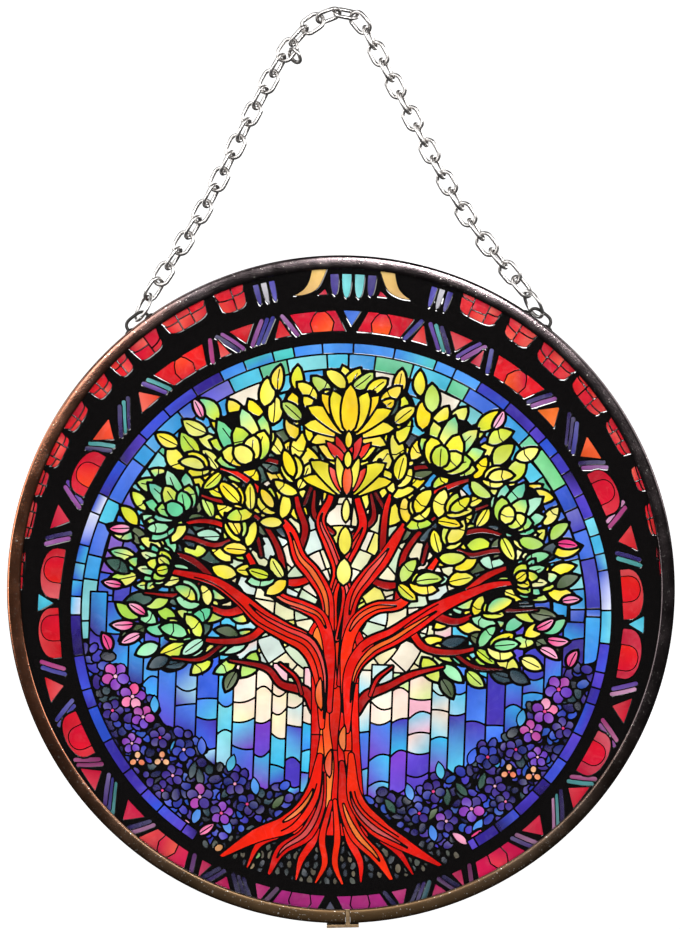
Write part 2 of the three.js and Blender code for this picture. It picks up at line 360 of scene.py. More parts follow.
def draw_thicket(canvas):
    """Dark undergrowth of small rounded panes, in clumps of like colours."""
    chance = random.Random(37)
    for side in (-1, 1):
        edge = [(side * x, thicket_top(x) - 0.4) for x in range(5, 62, 2)]
        canvas.shape(edge + [(side * 62, -66), (side * 5, -66)], None)
    pitch = 2.2
    row = 0
    y = -58.0
    while y < -4:
        x = -57.0 + (row % 2) * pitch / 2
        while x < 57:
            cx, cy = x + (chance.random() - 0.5) * 1.3, y + (chance.random() - 0.5) * 1.3
            x += pitch
            if cy > thicket_top(cx) + 0.2 or math.hypot(cx, cy) > TILE_INNER + 0.5 or abs(cx) < 5:
                continue
            clump = math.sin(cx * 0.55 + 1.3) + math.sin(cy * 0.62 + 0.4 * cx)
            colours = STONE[5:] + BLOOM[5:7] + LEAF_SHADE[2:3] if clump < -0.75 else BLOOM + DEEP[:5]
            size = 0.86 + 0.42 * chance.random()
            stretch = 1 + 0.7 * chance.random()
            outline = disc_outline((cx, cy), size, stretch, 180 * chance.random(), 9)
            canvas.shape(outline, pick(chance, colours), 0.42)
        row += 1
        y += pitch * 0.84


def draw_flower(canvas, centre, radius, petals, tints, chance, turn):
    """A blossom of round petals about a small pink heart."""
    canvas.shape(disc_outline(centre, radius * 1.55), None)
    for i in range(petals):
        angle = turn + 360 * i / petals
        middle = along(angle, radius * 0.92, 0, centre)
        canvas.shape(disc_outline(middle, radius * 0.66, 1.12, angle, 10), pick(chance, tints), 0.36)
    canvas.shape(disc_outline(centre, radius * 0.26, 1, 0, 8), pick(chance, PINK), 0.16)


def draw_leaf_pair(canvas, base, angle, length, tints, chance, opening):
    """Two leaves from one point, which open to either side of the angle."""
    for lean in (-opening, opening):
        draw_leaf(canvas, base, angle + lean, length, length * 0.44, pick(chance, tints), chance)


def draw_flowers(canvas):
    """Blossoms among the undergrowth, with a few spear leaves."""
    chance = random.Random(41)
    spears = (("#3f9fd8", 36.5, -33.5), ("#4fb8dc", 24.0, -36.5), ("#4f8fe0", 31.5, -48.5),
              ("#4a86dc", 23.0, -50.5), ("#3b62d6", 30.0, -33.0), ("#4f96e4", 17.5, -41.5),
              ("#46a7e2", 41.0, -24.0))
    for side in (-1, 1):
        for tint, x, y in spears:
            canvas.shape(leaf_outline((side * x, y), 60 + 60 * chance.random(), 4.2, 2.1), srgb(tint), 0.34)
        for x, y in ((32.5, -38.5), (30.0, -40.0), (28.0, -47.0), (20.5, -46.0), (25.5, -42.5),
                     (14.0, -44.5)):
            canvas.shape(leaf_outline((side * x, y), 30 + 120 * chance.random(), 4.4, 1.9),
                         pick(chance, LEAF_SHADE[:3]), 0.4)
        for x, y, size, tints in ((50.0, -15.5, 2.0, MAUVE), (46.5, -20.5, 1.9, PINK[:3] + MAUVE[:1]),
                                  (43.5, -24.5, 1.7, MAUVE), (50.5, -23.5, 1.6, BLOOM[3:5]),
                                  (45.5, -31.0, 1.5, MAUVE[:3]), (40.0, -29.5, 1.6, BLOOM[2:5]),
                                  (36.0, -37.5, 1.6, BLOOM[3:5]), (30.5, -42.5, 1.9, MAUVE[:3] + BLOOM[4:5]),
                                  (25.0, -45.5, 1.7, MAUVE[:1] + BLOOM[3:5]), (39.0, -41.0, 1.5, BLOOM[3:6]),
                                  (19.5, -44.0, 1.6, BLOOM[:4]), (34.0, -31.5, 1.7, BLOOM[:3]),
                                  (22.0, -39.5, 1.7, BLOOM[:4])):
            centre = (side * (x + chance.random() - 0.5), y + chance.random() - 0.5)
            draw_flower(canvas, centre, size, 5, tints, chance, 72 * chance.random())
        peach = [srgb(c) for c in ("#ef9a6a", "#f3b889", "#e9835c")]
        for x, y in ((44.5, -34.5), (39.0, -34.2)):
            draw_flower(canvas, (side * x, y), 1.2, 3, peach, chance, 90)
        draw_leaf_pair(canvas, (side * 30.5, -51.0), 90 + side * 8, 5.0, PINK[:3], chance, 46)
        draw_leaf(canvas, (side * 51.5, -10.5), 90 - side * 25, 4.8, 2.6, PINK[2], chance, 1)


# ---- tree ----
def spaced(widths, count):
    """The widths spread evenly over this many points."""
    return np.interp(np.linspace(0, len(widths) - 1, count), range(len(widths)), widths)


def beside(line, widths, share):
    """The line moved sideways by this share of the width at each of its points."""
    moved = []
    for i, (point, width) in enumerate(zip(line, widths)):
        way = line[min(i + 1, len(line) - 1)] - line[max(i - 1, 0)]
        across = np.array((-way[1], way[0])) / (np.hypot(*way) + 1e-9)
        moved.append(point + across * width * share(i / (len(line) - 1)))
    return moved


def draw_limb(canvas, points, widths, tints, chance):
    """A limb along the points, with its bark in long wavering strands."""
    line = curve(points)
    count = len(line)
    widths = spaced(widths, count)
    canvas.ribbon(line, widths, (pick(chance, tints), pick(chance, tints), 90), 0.3)
    strands = int(widths.max() / 1.25)
    for k in range(1, strands):
        phase = 6 * chance.random()
        middle = k / strands - 0.5 + 0.1 * (chance.random() - 0.5)

        def share(t):
            return middle + 0.09 * math.sin(phase + 8 * t)

        first = int(count * 0.3 * chance.random())
        last = int(count * (0.55 + 0.3 * chance.random()))
        strand = beside(line, widths, share)[first:last]
        if len(strand) < 4:
            continue
        if k % 2:
            inner = [width / strands * 0.8 * math.sin(math.pi * (i + 0.6) / len(strand)) ** 0.5
                     for i, width in enumerate(widths[first:last])]
            canvas.ribbon(strand, inner, pick(chance, tints + BARK_LIGHT), 0.34)
        else:
            canvas.score(strand, 0.34)


# limbs on the right, from where they leave the trunk to the tip, with their widths on the way
BOUGHS = (
    (((0.2, -6), (1.8, 4), (0.8, 10), (2.8, 15.5), (4.6, 20.5), (3.4, 25.5), (2.2, 30)),
     (1.2, 2.3, 2.4, 2.5, 2.0, 1.5, 0.8)),
    (((0.8, -16), (1.6, -4), (2.8, 3.8), (6.2, 8.4), (9.2, 12.5), (11.8, 17.5), (15.5, 22.5)),
     (1.2, 2.2, 3.0, 3.4, 3.0, 2.2, 0.8)),
    (((1.8, -22), (2.2, -9), (4.2, -1.8), (8.4, 1.2), (13, 2.8), (17.2, 6.5), (20, 11.5), (23, 16)),
     (1.2, 2.6, 3.0, 2.6, 2.2, 1.8, 1.4, 0.6)),
    (((2.6, -26), (3.2, -14), (6.4, -7.4), (12, -4.6), (17.5, -2.0), (22.5, 2.4), (28.5, 5.8), (35, 7.2),
      (42, 8.6)),
     (1.2, 3.2, 4.4, 4.0, 4.0, 3.0, 2.2, 1.6, 0.7)),
)

BRANCHES = (
    (((20.5, 0.4), (26, -1.2), (32, 1.4)), (2.2, 1.7, 0.7)),
    (((16.5, -3.4), (20, -6.8), (26, -7.6), (33.5, -6.2)), (1.8, 1.6, 1.4, 0.6)),
    (((13, 3.0), (13.4, 9), (14.8, 14.5), (18, 20), (23, 23.5)), (1.3, 1.6, 1.4, 1.1, 0.6)),
    (((9.6, 12.6), (8.8, 18), (9.6, 24), (11.5, 29.5)), (1.4, 1.6, 1.4, 0.6)),
    (((6, 8.4), (10.4, 7.0), (15.5, 7.6)), (1.2, 1.9, 0.8)),
    (((28, 5.8), (33, 10.2), (40, 12.8)), (1.3, 1.6, 0.7)),
    (((21, 12.5), (24.5, 17.5), (31, 19.6), (38.5, 18.2)), (1.3, 1.4, 1.2, 0.6)),
    (((14.6, 21.5), (19, 27), (25, 30.5), (31, 31.5)), (1.4, 1.5, 1.2, 0.6)),
    (((2.4, 18), (6.6, 21.5), (6.2, 27.5)), (1.0, 1.3, 0.7)),
    (((4.6, -22), (7.2, -18.2), (12, -16.2), (16.5, -12.8), (24, -11.4)), (1.8, 2.2, 1.6, 1.4, 0.6)),
    (((8.0, -18.0), (9.4, -14.6), (12.4, -12.0)), (0.9, 0.9, 0.5)),
)

TWIGS = (
    (((11.5, 28), (14.5, 33), (20, 34), (26, 32)), (1.0, 1.2, 1.0, 0.5)),
    (((16, 22), (21.5, 24.5), (28, 24.0), (34, 26.5)), (1.0, 1.2, 1.0, 0.5)),
    (((23, 16.5), (28.5, 14.0), (35, 15.5), (43, 14.0)), (1.0, 1.2, 1.1, 0.5)),
    (((31, 6.2), (36, 2.8), (44, 2.6)), (1.0, 1.2, 0.5)),
    (((26, -7.8), (31, -11.0), (37, -11.4)), (0.9, 1.1, 0.5)),
    (((9, 24), (6.8, 29.5), (7.6, 34.5)), (0.9, 1.1, 0.5)),
    (((18, 12), (19.5, 17.5), (24, 21.0)), (0.9, 1.1, 0.5)),
)

ROOTS = (
    (((4.4, -43), (9, -48.6), (15.4, -52.6), (19, -57.6)), (1.2, 2.0, 1.6, 0.6)),
    (((0.6, -42), (1.6, -50), (1.0, -56), (2.8, -61)), (1.0, 1.6, 1.5, 0.6)),
    (((2.4, -44), (4.0, -51), (6.8, -55.5), (7.4, -60.4)), (1.2, 2.0, 1.6, 0.6)),
    (((1.8, -34), (2.6, -43), (5.6, -50), (10.6, -54), (13.6, -59)), (1.2, 2.9, 3.2, 2.6, 0.9)),
    (((3.4, -32), (5.0, -41), (9.4, -47.2), (16.4, -50.8), (24.5, -55.4)), (1.4, 3.4, 4.4, 3.2, 0.9)),
)

TRUNK_LEFT = ((-10.5, -50), (-6.8, -43), (-5.8, -34), (-5.8, -24), (-6.2, -14), (-7.4, -5.5), (-4.6, 0))
TRUNK_RIGHT = ((11.5, -50), (7.2, -43), (5.8, -34), (4.9, -24), (4.6, -14), (5.6, -6.5), (2.6, -1))


def mirrored(points, side, chance, loose):
    """The points on either side, each moved a little so that the two sides differ."""
    return [(side * x - 0.4 + loose * (chance.random() - 0.5), y + loose * (chance.random() - 0.5))
            for x, y in points]


def draw_ground(canvas):
    """Dark earth with small stones between the roots."""
    chance = random.Random(53)
    bank = curve([(-31, -54.5), (-23, -51.0), (-14, -47.0), (-7, -42), (7, -42), (14, -47.0), (23, -51.5),
                  (31, -54.5)], 4)
    canvas.shape(bank + [(34, -66), (-34, -66)], None)
    y = -60.2
    while y < -46:
        x = -29.0 + chance.random()
        while x < 29:
            stone = (x, y + 0.5 * chance.random())
            if math.hypot(*stone) < TILE_OUTER - 0.4 and y < -48.0 - abs(x) * 0.16:
                size = 0.6 + 0.3 * chance.random()
                canvas.shape(disc_outline(stone, size, 1.5, 60 + 60 * chance.random(), 8),
                             pick(chance, STONE), 0.4)
            x += 1.7 + 0.5 * chance.random()
        y += 1.7
    for x, y, tint in ((-25.5, -53.6, "#c98f5a"), (-19.5, -50.4, "#b07c4e"), (-17.0, -55.0, "#7fae6a"),
                       (-18.2, -57.4, "#a08a6a")):
        canvas.shape(disc_outline((x, y), 0.9, 1.3, 30, 8), srgb(tint), 0.4)


def draw_trunk(canvas):
    """The trunk, as strands of bark that waver upwards side by side."""
    chance = random.Random(71)
    left, right = curve(TRUNK_LEFT), curve(TRUNK_RIGHT)
    count, strands = len(left), 7
    canvas.shape(left + right[::-1], None)
    borders = [left]
    for k in range(1, strands):
        phase, more = 6 * chance.random(), 6 * chance.random()
        border = []
        for i in range(count):
            t = i / (count - 1)
            share = k / strands + 0.035 * math.sin(phase + 11 * t) + 0.02 * math.sin(more + 23 * t)
            border.append(left[i] + (right[i] - left[i]) * share)
        borders.append(border)
    borders.append(right)
    for k in range(strands):
        tints = BARK_LIGHT + BARK[:3] if k in (1, 2) else BARK
        cut = int(count * (0.3 + 0.4 * chance.random()))
        for first, last in ((0, cut + 1), (cut, count)):
            outline = borders[k][first:last] + borders[k + 1][first:last][::-1]
            canvas.shape(outline, (pick(chance, tints), pick(chance, tints), 90), 0.3)


def draw_tree(canvas):
    """Twigs, branches, the trunk, then boughs and roots, each in front of the last, edged in lead."""
    chance = random.Random(67)
    limbs = []
    branch_tints = BARK_DARK[:2] + BARK[3:4] + BARK[:1]
    for group, tints in ((TWIGS, BARK_DARK), (BRANCHES, branch_tints), (BOUGHS + ROOTS, BARK)):
        for points, widths in group:
            limbs += [(mirrored(points, side, chance, 1.0), widths, tints) for side in (-1, 1)]
    for points, widths, _ in limbs:
        line = curve(points)
        canvas.ribbon(line, spaced(widths, len(line)) + 0.85, None)
    for points, widths, tints in limbs:
        if tints is not BARK:
            draw_limb(canvas, points, widths, tints, chance)
    draw_trunk(canvas)
    for points, widths, tints in limbs:
        if tints is BARK:
            draw_limb(canvas, points, widths, tints, chance)
    for x, y, length in ((-3.6, -22, 7.5), (1.8, -31, 6.0), (-1.2, -37, 6.5)):
        canvas.shape(leaf_outline((x, y), 84 + 12 * chance.random(), length, 1.7, 0.5, 0.6),
                     pick(chance, BARK_LIGHT), 0.34)


# ---- leaves ----
def draw_leaf(canvas, base, angle, length, width, tint, chance, rib=0.5, fullness=0.7):
    """A leaf that may have a midrib, as often as rib says, or a lead across it."""
    bend = (chance.random() - 0.5) * 0.16 * length
    canvas.shape(leaf_outline(base, angle, length, width, bend, fullness), tint, 0.66)
    way = chance.random()
    if way < rib:
        line = [along(angle, length * t, bend * math.sin(math.pi * t) * 0.6, base)
                for t in (0.02, 0.25, 0.5, 0.8)]
        canvas.score(line, 0.28)
    elif way < rib + 0.3:
        at = 0.3 + 0.4 * chance.random()
        canvas.score([along(angle, length * (at + lean), across * width, base)
                      for across, lean in ((-0.5, 0.06), (0, -0.03), (0.5, 0.04))], 0.28)


def leaf_tint(chance, x, y):
    """Yellow at the heart of the crown, then lime, and mint and green among them towards the rim."""
    away = math.hypot(x * 0.9, y - 34) + (chance.random() - 0.5) * 12
    if away < 22:
        first, second = LEAF_SUN, LEAF_SUN + LEAF_LIME[:1]
    elif away < 33:
        first, second = LEAF_SUN + LEAF_LIME[:3], LEAF_SUN + LEAF_LIME
    else:
        first, second = LEAF_SUN[:3] + LEAF_LIME + LEAF_MINT, LEAF_LIME + LEAF_MINT[:3]
    first = pick(chance, first)
    second = pick(chance, second) if chance.random() < 0.45 else mix(first, (1, 1, 1), 0.12)
    return (first, second, 360 * chance.random())


def in_crown(x, y):
    """Whether leaves grow here: the crown, less the open heart of the tree."""
    side = abs(x)
    crown = math.hypot(side / 52.0, (y - 12) / 43.0) < 1 and y > -19 + 0.12 * side
    if y > 10 and math.hypot(x, y) > 56.0 - 3 * math.sin(side * 0.3):
        return False
    heart = math.hypot(side / 22.0, (y - 5) / 18.0) < 1
    core = side < 7 and 12 < y < 26
    low = side < 20 and y < 0
    return crown and not heart and not core and not low


def draw_crown(canvas):
    """The crown's leaves, laid from the heart outwards, so that the outer ones lie on top."""
    chance = random.Random(83)
    pitch = 5.0
    spots = []
    row = 0
    y = -20.0
    while y < 57:
        x = pitch / 2 * (row % 2) + 1.0
        while x < 58:
            spots.append((x + (chance.random() - 0.5) * 1.9, y + (chance.random() - 0.5) * 1.9))
            x += pitch
        row += 1
        y += pitch * 0.72
    spots.sort(key=lambda p: math.hypot(p[0], p[1] - 5) + 5 * chance.random())
    for x, y in spots:
        if not in_crown(x, y):
            continue
        out = math.degrees(math.atan2(y + 2, x)) if y > -6 else math.degrees(math.atan2(y - 4, x + 8))
        out += (chance.random() - 0.5) * 66
        inner = max(0, 1 - math.hypot(x, y - 34) / 34)
        length = 5.6 + 1.9 * chance.random() + 1.9 * inner
        width = length * (0.43 + 0.14 * chance.random())
        fullness = 0.85 - 0.3 * inner - 0.15 * chance.random()
        shaded = chance.random() < (0.1 if y > 22 else 0.2)
        for side in (-1, 1):
            angle = out if side > 0 else 180 - out
            base = (side * x - length / 2 * math.cos(math.radians(angle)),
                    y - length / 2 * math.sin(math.radians(angle)))
            tint = pick(chance, LEAF_SHADE[:4]) if shaded else leaf_tint(chance, x, y)
            angle += 8 * (chance.random() - 0.5)
            draw_leaf(canvas, base, angle, length, width, tint, chance, 0.3, fullness)


def draw_rosette(canvas, centre, heading, size, back, front, chance):
    """Overlapping leaves that close round each other like a bud."""
    foot = along(heading, -size * 0.5, 0, centre)
    canvas.shape(disc_outline(centre, size * 0.62, 1.1, heading), None)
    for angle, length, width, tints in ((-62, 0.8, 0.4, back), (62, 0.8, 0.4, back), (-38, 1.05, 0.42, back),
                                        (38, 1.05, 0.42, back), (-14, 1.2, 0.42, back), (14, 1.2, 0.42, back),
                                        (-46, 0.72, 0.46, front), (46, 0.72, 0.46, front),
                                        (0, 0.86, 0.46, front), (-28, 0.58, 0.4, front),
                                        (26, 0.52, 0.4, front)):
        tint = (pick(chance, tints), pick(chance, tints), heading)
        draw_leaf(canvas, foot, heading + angle, size * length, size * width, tint, chance, 0.3, 0.5)


def draw_rosettes(canvas):
    """Three rosettes on either side of the crown."""
    chance = random.Random(89)
    for side in (-1, 1):
        for x, y, heading, size, back, front in (
                (23.5, 38.0, 62, 10.5, LEAF_LIME + LEAF_MINT[:3], LEAF_SUN + LEAF_LIME),
                (38.8, 24.8, 52, 9.0, LEAF_MINT[:5], LEAF_LIME + LEAF_MINT[:2]),
                (42.0, 9.5, 12, 6.5, LEAF_MINT, LEAF_SUN[:3] + LEAF_LIME)):
            angle = heading if side > 0 else 180 - heading
            draw_rosette(canvas, (side * x, y), angle, size, back, front, chance)


def draw_tufts(canvas):
    """Leaves at the ends of the boughs and branches, in front of them."""
    chance = random.Random(91)
    for points, _ in BOUGHS[1:] + BRANCHES[:8]:
        (x0, y0), (x1, y1) = points[-2:]
        out = math.degrees(math.atan2(y1 - y0, x1 - x0))
        for side in (-1, 1):
            for lean, back in ((-48, 3.2), (46, 2.4), (-18, 0.8), (22, 0.2), (2, -0.6)):
                heading = out + lean + 14 * (chance.random() - 0.5)
                base = along(out, -back, 0, (x1, y1))
                angle = heading if side > 0 else 180 - heading
                length = 5.4 + 1.8 * chance.random()
                width = length * (0.42 + 0.1 * chance.random())
                draw_leaf(canvas, (side * base[0], base[1]), angle, length, width, leaf_tint(chance, x1, y1),
                          chance, 0.4, 0.6)


def draw_buds(canvas):
    """Pink buds among the crown's outer leaves."""
    chance = random.Random(97)
    for side in (-1, 1):
        for x, y, angle, length in ((32.5, 42.5, 62, 5.4), (47.5, 17.5, -4, 5.6), (43.5, -2.0, 30, 5.4),
                                    (46.0, -4.0, -4, 5.8), (44.5, -6.0, -28, 5.6), (49.0, 4.5, 8, 5.0)):
            heading = angle if side > 0 else 180 - angle
            tint = (pick(chance, PINK), pick(chance, PINK[1:4]), heading)
            draw_leaf(canvas, (side * x, y), heading, length, length * 0.44, tint, chance, 1)


# ---- the large open bloom at the head of the tree ----
def draw_bloom(canvas):
    """Its backing leaves, its upper petals, its lower leaves and spikes, and the stem of small leaves."""
    chance = random.Random(101)
    for y, reach in ((50.5, 9.5), (46.0, 14.0)):
        for side in (-1, 1):
            for k in range(3):
                base = (side * (reach * (k + 0.2) / 3), y - 1.5 * k)
                draw_leaf(canvas, base, 40 if side > 0 else 140, 6.4, 3.2,
                          pick(chance, LEAF_SUN + LEAF_LIME[:2]), chance, 0.4, 0.55)
    foot = (0.3, 40.2)
    canvas.shape(disc_outline((0.3, 43.5), 7.5, 1.25, 0), None)
    for side in (-1, 1):
        for angle, length, width, tint in ((-14, 9.0, 3.4, LEAF_SUN[4]), (10, 10.6, 3.9, LEAF_SUN[1]),
                                           (32, 11.4, 4.1, LEAF_SUN[0]), (54, 11.4, 4.1, LEAF_SUN[3])):
            heading = angle if side > 0 else 180 - angle
            tint = (mix(tint, BARK_LIGHT[1], 0.3), tint, heading)
            canvas.shape(leaf_outline(foot, heading, length, width, side * 0.7, 0.55), tint, 0.55)
    for angle, length, width, tint in ((112, 10.8, 4.4, LEAF_SUN[2]), (68, 10.8, 4.4, LEAF_SUN[2]),
                                       (90, 11.6, 4.2, LEAF_SUN[3])):
        tint = (mix(tint, BARK_LIGHT[1], 0.25), tint, angle)
        canvas.shape(leaf_outline(foot, angle, length, width, 0, 0.55), tint, 0.55)
    lower = (0.3, 26.4)
    for side in (-1, 1):
        for angle, length, width, tint in ((20, 11.0, 3.6, LEAF_SUN[0]), (42, 11.6, 4.4, LEAF_SUN[2])):
            heading = angle if side > 0 else 180 - angle
            canvas.shape(leaf_outline(lower, heading, length, width, side * 0.9, 0.55), tint, 0.55)
    for angle in (-44, -24, 0, 24, 44):
        spike = leaf_outline((0.3, 33.4), 90 + angle, 7.4, 2.3, 0, 0.75)
        canvas.shape(spike, pick(chance, BARK + EMBER), 0.4)
    for angle, length, tint in ((122, 8.0, BARK[2]), (58, 8.0, BARK[2]), (106, 9.4, LEAF_SUN[4]),
                                (74, 9.4, LEAF_SUN[4]), (90, 7.6, EMBER[0])):
        canvas.shape(leaf_outline(lower, angle, length, 2.3, 0, 0.65), tint, 0.4)
    for y, length, width, tint in ((37.0, 4.2, 1.9, LEAF_SUN[3]), (32.6, 4.2, 2.0, LEAF_SUN[1]),
                                   (20.4, 5.6, 2.0, LEAF_LIME[4]), (13.0, 6.8, 3.2, LEAF_SUN[4]),
                                   (6.2, 6.4, 3.6, LEAF_LIME[4])):
        canvas.shape(leaf_outline((0.3, y), 90, length, width, 0, 0.65), tint, 0.5)


# ---- border ----
def draw_tiles(canvas):
    """A ring of small blue tiles round the scene; the ground breaks it at the foot."""
    chance = random.Random(113)
    canvas.ring(TILE_OUTER - 0.1, BAND_OUTER + 20)
    angle = -149.0
    while angle < 148:
        span = 3.0 + 6.5 * chance.random()
        span = min(span, 149 - angle)
        away = abs(angle + span / 2)
        if away < 30:
            colours = [srgb("#46b8b4"), srgb("#4f96e4"), srgb("#54c3c0"), srgb("#3f86e0")]
        elif 66 < away < 92:
            colours = [srgb("#49b4e0"), srgb("#6fc8dc"), DEEP[4], srgb("#d8dcef")]
        else:
            colours = DEEP
        arc = [polar(angle + span * t / 4, TILE_OUTER) for t in range(5)]
        back = [polar(angle + span * (1 - t / 4), TILE_INNER) for t in range(5)]
        canvas.shape(arc + back, (pick(chance, colours), pick(chance, colours), 360 * chance.random()), 0.42)
        angle += span


BORDER_LOW, BORDER_HIGH = BAND_INNER + 0.1, BAND_OUTER - 0.1
BORDER_MIDDLE = (BAND_INNER + BAND_OUTER) / 2


def wedge(place, outer, inner, low=BORDER_LOW, high=BORDER_HIGH):
    """A border pane whose outer and inner edges each run between two degrees."""
    arc = [polar(place(outer[0] + (outer[1] - outer[0]) * t / 6), high) for t in range(7)]
    back = [polar(place(inner[1] + (inner[0] - inner[1]) * t / 6), low) for t in range(7)]
    return arc + back


def border_tint(chance, colours, angle):
    """Reds that turn to magenta and violet towards the foot."""
    low = max(0, -math.cos(math.radians(angle)))
    tint = mix(pick(chance, colours), srgb("#b0165e"), 0.8 * low ** 3)
    return mix(tint, srgb("#6a3490"), 0.5 * low ** 20)


def draw_panel(canvas, place, outer, inner, chance):
    """A red border panel with an ember heart between thin curved lines."""
    centre = place(sum(outer) / 2)
    tint = (border_tint(chance, CRIMSON, centre), border_tint(chance, CRIMSON[:3] + EMBER[:1], centre),
            360 * chance.random())
    canvas.shape(wedge(place, outer, inner), tint, 0.5)
    width = inner[1] - inner[0]
    first = inner[0] + width * (0.3 + 0.1 * chance.random())
    last = inner[0] + width * (0.7 + 0.1 * chance.random())
    heart = [polar(place(first + (last - first) * t), BORDER_LOW + rise) for t, rise in
             ((0, 0.1), (-0.12, 2.2), (0.1, 3.8), (0.3, 4.7), (0.7, 4.7), (0.9, 3.8), (1.1, 2.2), (1, 0.1))]
    ember = (border_tint(chance, EMBER, centre), border_tint(chance, CRIMSON, centre), 360 * chance.random())
    canvas.shape(heart, ember, 0.3)


def draw_arch(canvas, place, first, last, chance):
    """A red arch that stands on the inner ring, with a second one inside it."""
    middle, half = (first + last) / 2, (last - first) / 2
    centre = place(middle)

    def rise(width, height, shift=0.0):
        return [polar(place(middle + shift - width * math.cos(math.pi * i / 14)),
                      BORDER_LOW + height * math.sin(math.pi * i / 14) ** 0.55) for i in range(15)]

    canvas.shape(rise(half, BORDER_HIGH - BORDER_LOW), border_tint(chance, CRIMSON, centre), 0.5)
    inner = (border_tint(chance, CRIMSON[:3] + EMBER[2:], centre), border_tint(chance, CRIMSON, centre), 90)
    canvas.shape(rise(half * 0.5, 4.2, half * (chance.random() - 0.5) * 0.5), inner, 0.24)


def draw_bars(canvas, place, foot, head, count, chance):
    """Narrow stripes side by side, leaning from foot to head degrees."""
    for k in range(count):
        off = (k - (count - 1) / 2) * 1.12
        dark = max(0, -math.cos(math.radians(place(foot)))) ** 2
        tint = mix(pick(chance, RIBBONS), srgb("#1d1838"), dark * 0.85)
        middle = (foot + head) / 2
        line = [polar(place(foot + off), BORDER_LOW + 0.2), polar(place(middle + off), BORDER_MIDDLE),
                polar(place(head + off), BORDER_HIGH - 0.2)]
        canvas.ribbon(line, [1.15, 1.25, 1.15], tint, 0.26)


# for half a border quarter, in degrees from its top: stripes as foot, head and count, and the triangles
# as where they stand, or hang, and their point
BARS = ((11.0, 13.3, 1), (19.2, 16.2, 3), (22.9, 25.7, 2), (29.1, 27.7, 1), (40.0, 42.2, 2), (52.0, 47.9, 3),
        (56.3, 58.5, 2), (69.4, 66.9, 2), (76.1, 78.2, 2))
STANDING = ((12.1, 15.8, 13.9), (24.9, 27.5, 26.4), (41.5, 47.1, 44.5))
HANGING = ((18.7, 24.0, 21.4), (51.8, 57.5, 54.6), (70.6, 76.2, 73.3))
PANELS = (((3.0, 12.1), (0.9, 10.1)), ((29.1, 40.4), (30.4, 38.4)))
ARCHES = ((58.2, 67.9), (78.8, 89.3))


def draw_band(canvas):
    """The red border: one quarter laid four times, mirrored, and a small triangle between each two."""
    chance = random.Random(127)
    for side in (-1, 1):
        for lower in (False, True):
            def place(angle):
                return side * (180 - angle if lower else angle)

            for foot, head, count in BARS:
                draw_bars(canvas, place, foot, head, count, chance)
            for first, last, point in STANDING:
                colours = EMBER if 40 < point < 60 and not lower else CRIMSON
                canvas.shape(wedge(place, (point - 0.2, point + 0.2), (first, last), high=BORDER_HIGH - 0.8),
                             border_tint(chance, colours, place(point)), 0.45)
            for first, last, point in HANGING:
                colours = EMBER if 40 < point < 60 and not lower else CRIMSON
                canvas.shape(wedge(place, (first, last), (point - 0.1, point + 0.1), low=BORDER_LOW + 0.9),
                             border_tint(chance, colours, place(point)), 0.45)
            for outer, inner in PANELS:
                draw_panel(canvas, place, outer, inner, chance)
            for first, last in ARCHES:
                draw_arch(canvas, place, first, last, chance)
    for start, tint in ((0, "#3f74dc"), (90, "#3fb6d0"), (180, "#4a4a62"), (270, "#3fb6d0")):
        def turned(angle):
            return start + angle

        hung = wedge(turned, (-1.9, 1.9), (-0.1, 0.1), low=BORDER_LOW + 1.2)
        canvas.shape(hung, srgb(tint), 0.45)


def draw_drop(canvas, place, angle, half, depth, tint):
    """A narrow drop that hangs inwards from the rim."""
    head = 76.5
    tip = RING_OUTER + 3.0 - depth
    side = [(half * math.sqrt(1 - (t / 8) ** 3), t / 8) for t in range(9)]
    outline = [polar(place(angle - w), head + (tip - head) * t) for w, t in side]
    outline += [polar(place(angle + w), head + (tip - head) * t) for w, t in reversed(side[:-1])]
    canvas.shape(outline, tint, 0.42)


def draw_scallop(canvas, side, first, last, depth, chance):
    """A cell that hangs from the rim with a rounded foot, in panes of several reds."""
    squareness = 3.5
    columns = 1 + int((last - first) / 3.2)
    edges = [0] + [(k + 0.3 * (chance.random() - 0.5)) / columns for k in range(1, columns)] + [1]
    for start, end in zip(edges, edges[1:]):
        middle = 0.25 + 0.4 * chance.random()
        tilt = 0.3 * (chance.random() - 0.5)
        lines = []
        for level, rise in ((-0.4, 0), (middle, tilt), (1, 0)):
            line = []
            for k in range(7):
                t = start + (end - start) * k / 6
                full = (1 - abs(2 * t - 1) ** squareness) ** (1 / squareness)
                angle = side * (first + (last - first) * t)
                rim = RIM_REACH - PICTURE_SHIFT[1] * math.cos(math.radians(angle))
                line.append(polar(angle, rim - depth * full * (level + rise * (t - start))))
            lines.append(line)
        for upper, lower in zip(lines, lines[1:]):
            tint = mix(pick(chance, CRIMSON), srgb("#f4806a"), 0.6 * chance.random() ** 2)
            canvas.shape(upper + lower[::-1], (pick(chance, CRIMSON[:2]), tint, 360 * chance.random()), 0.34)


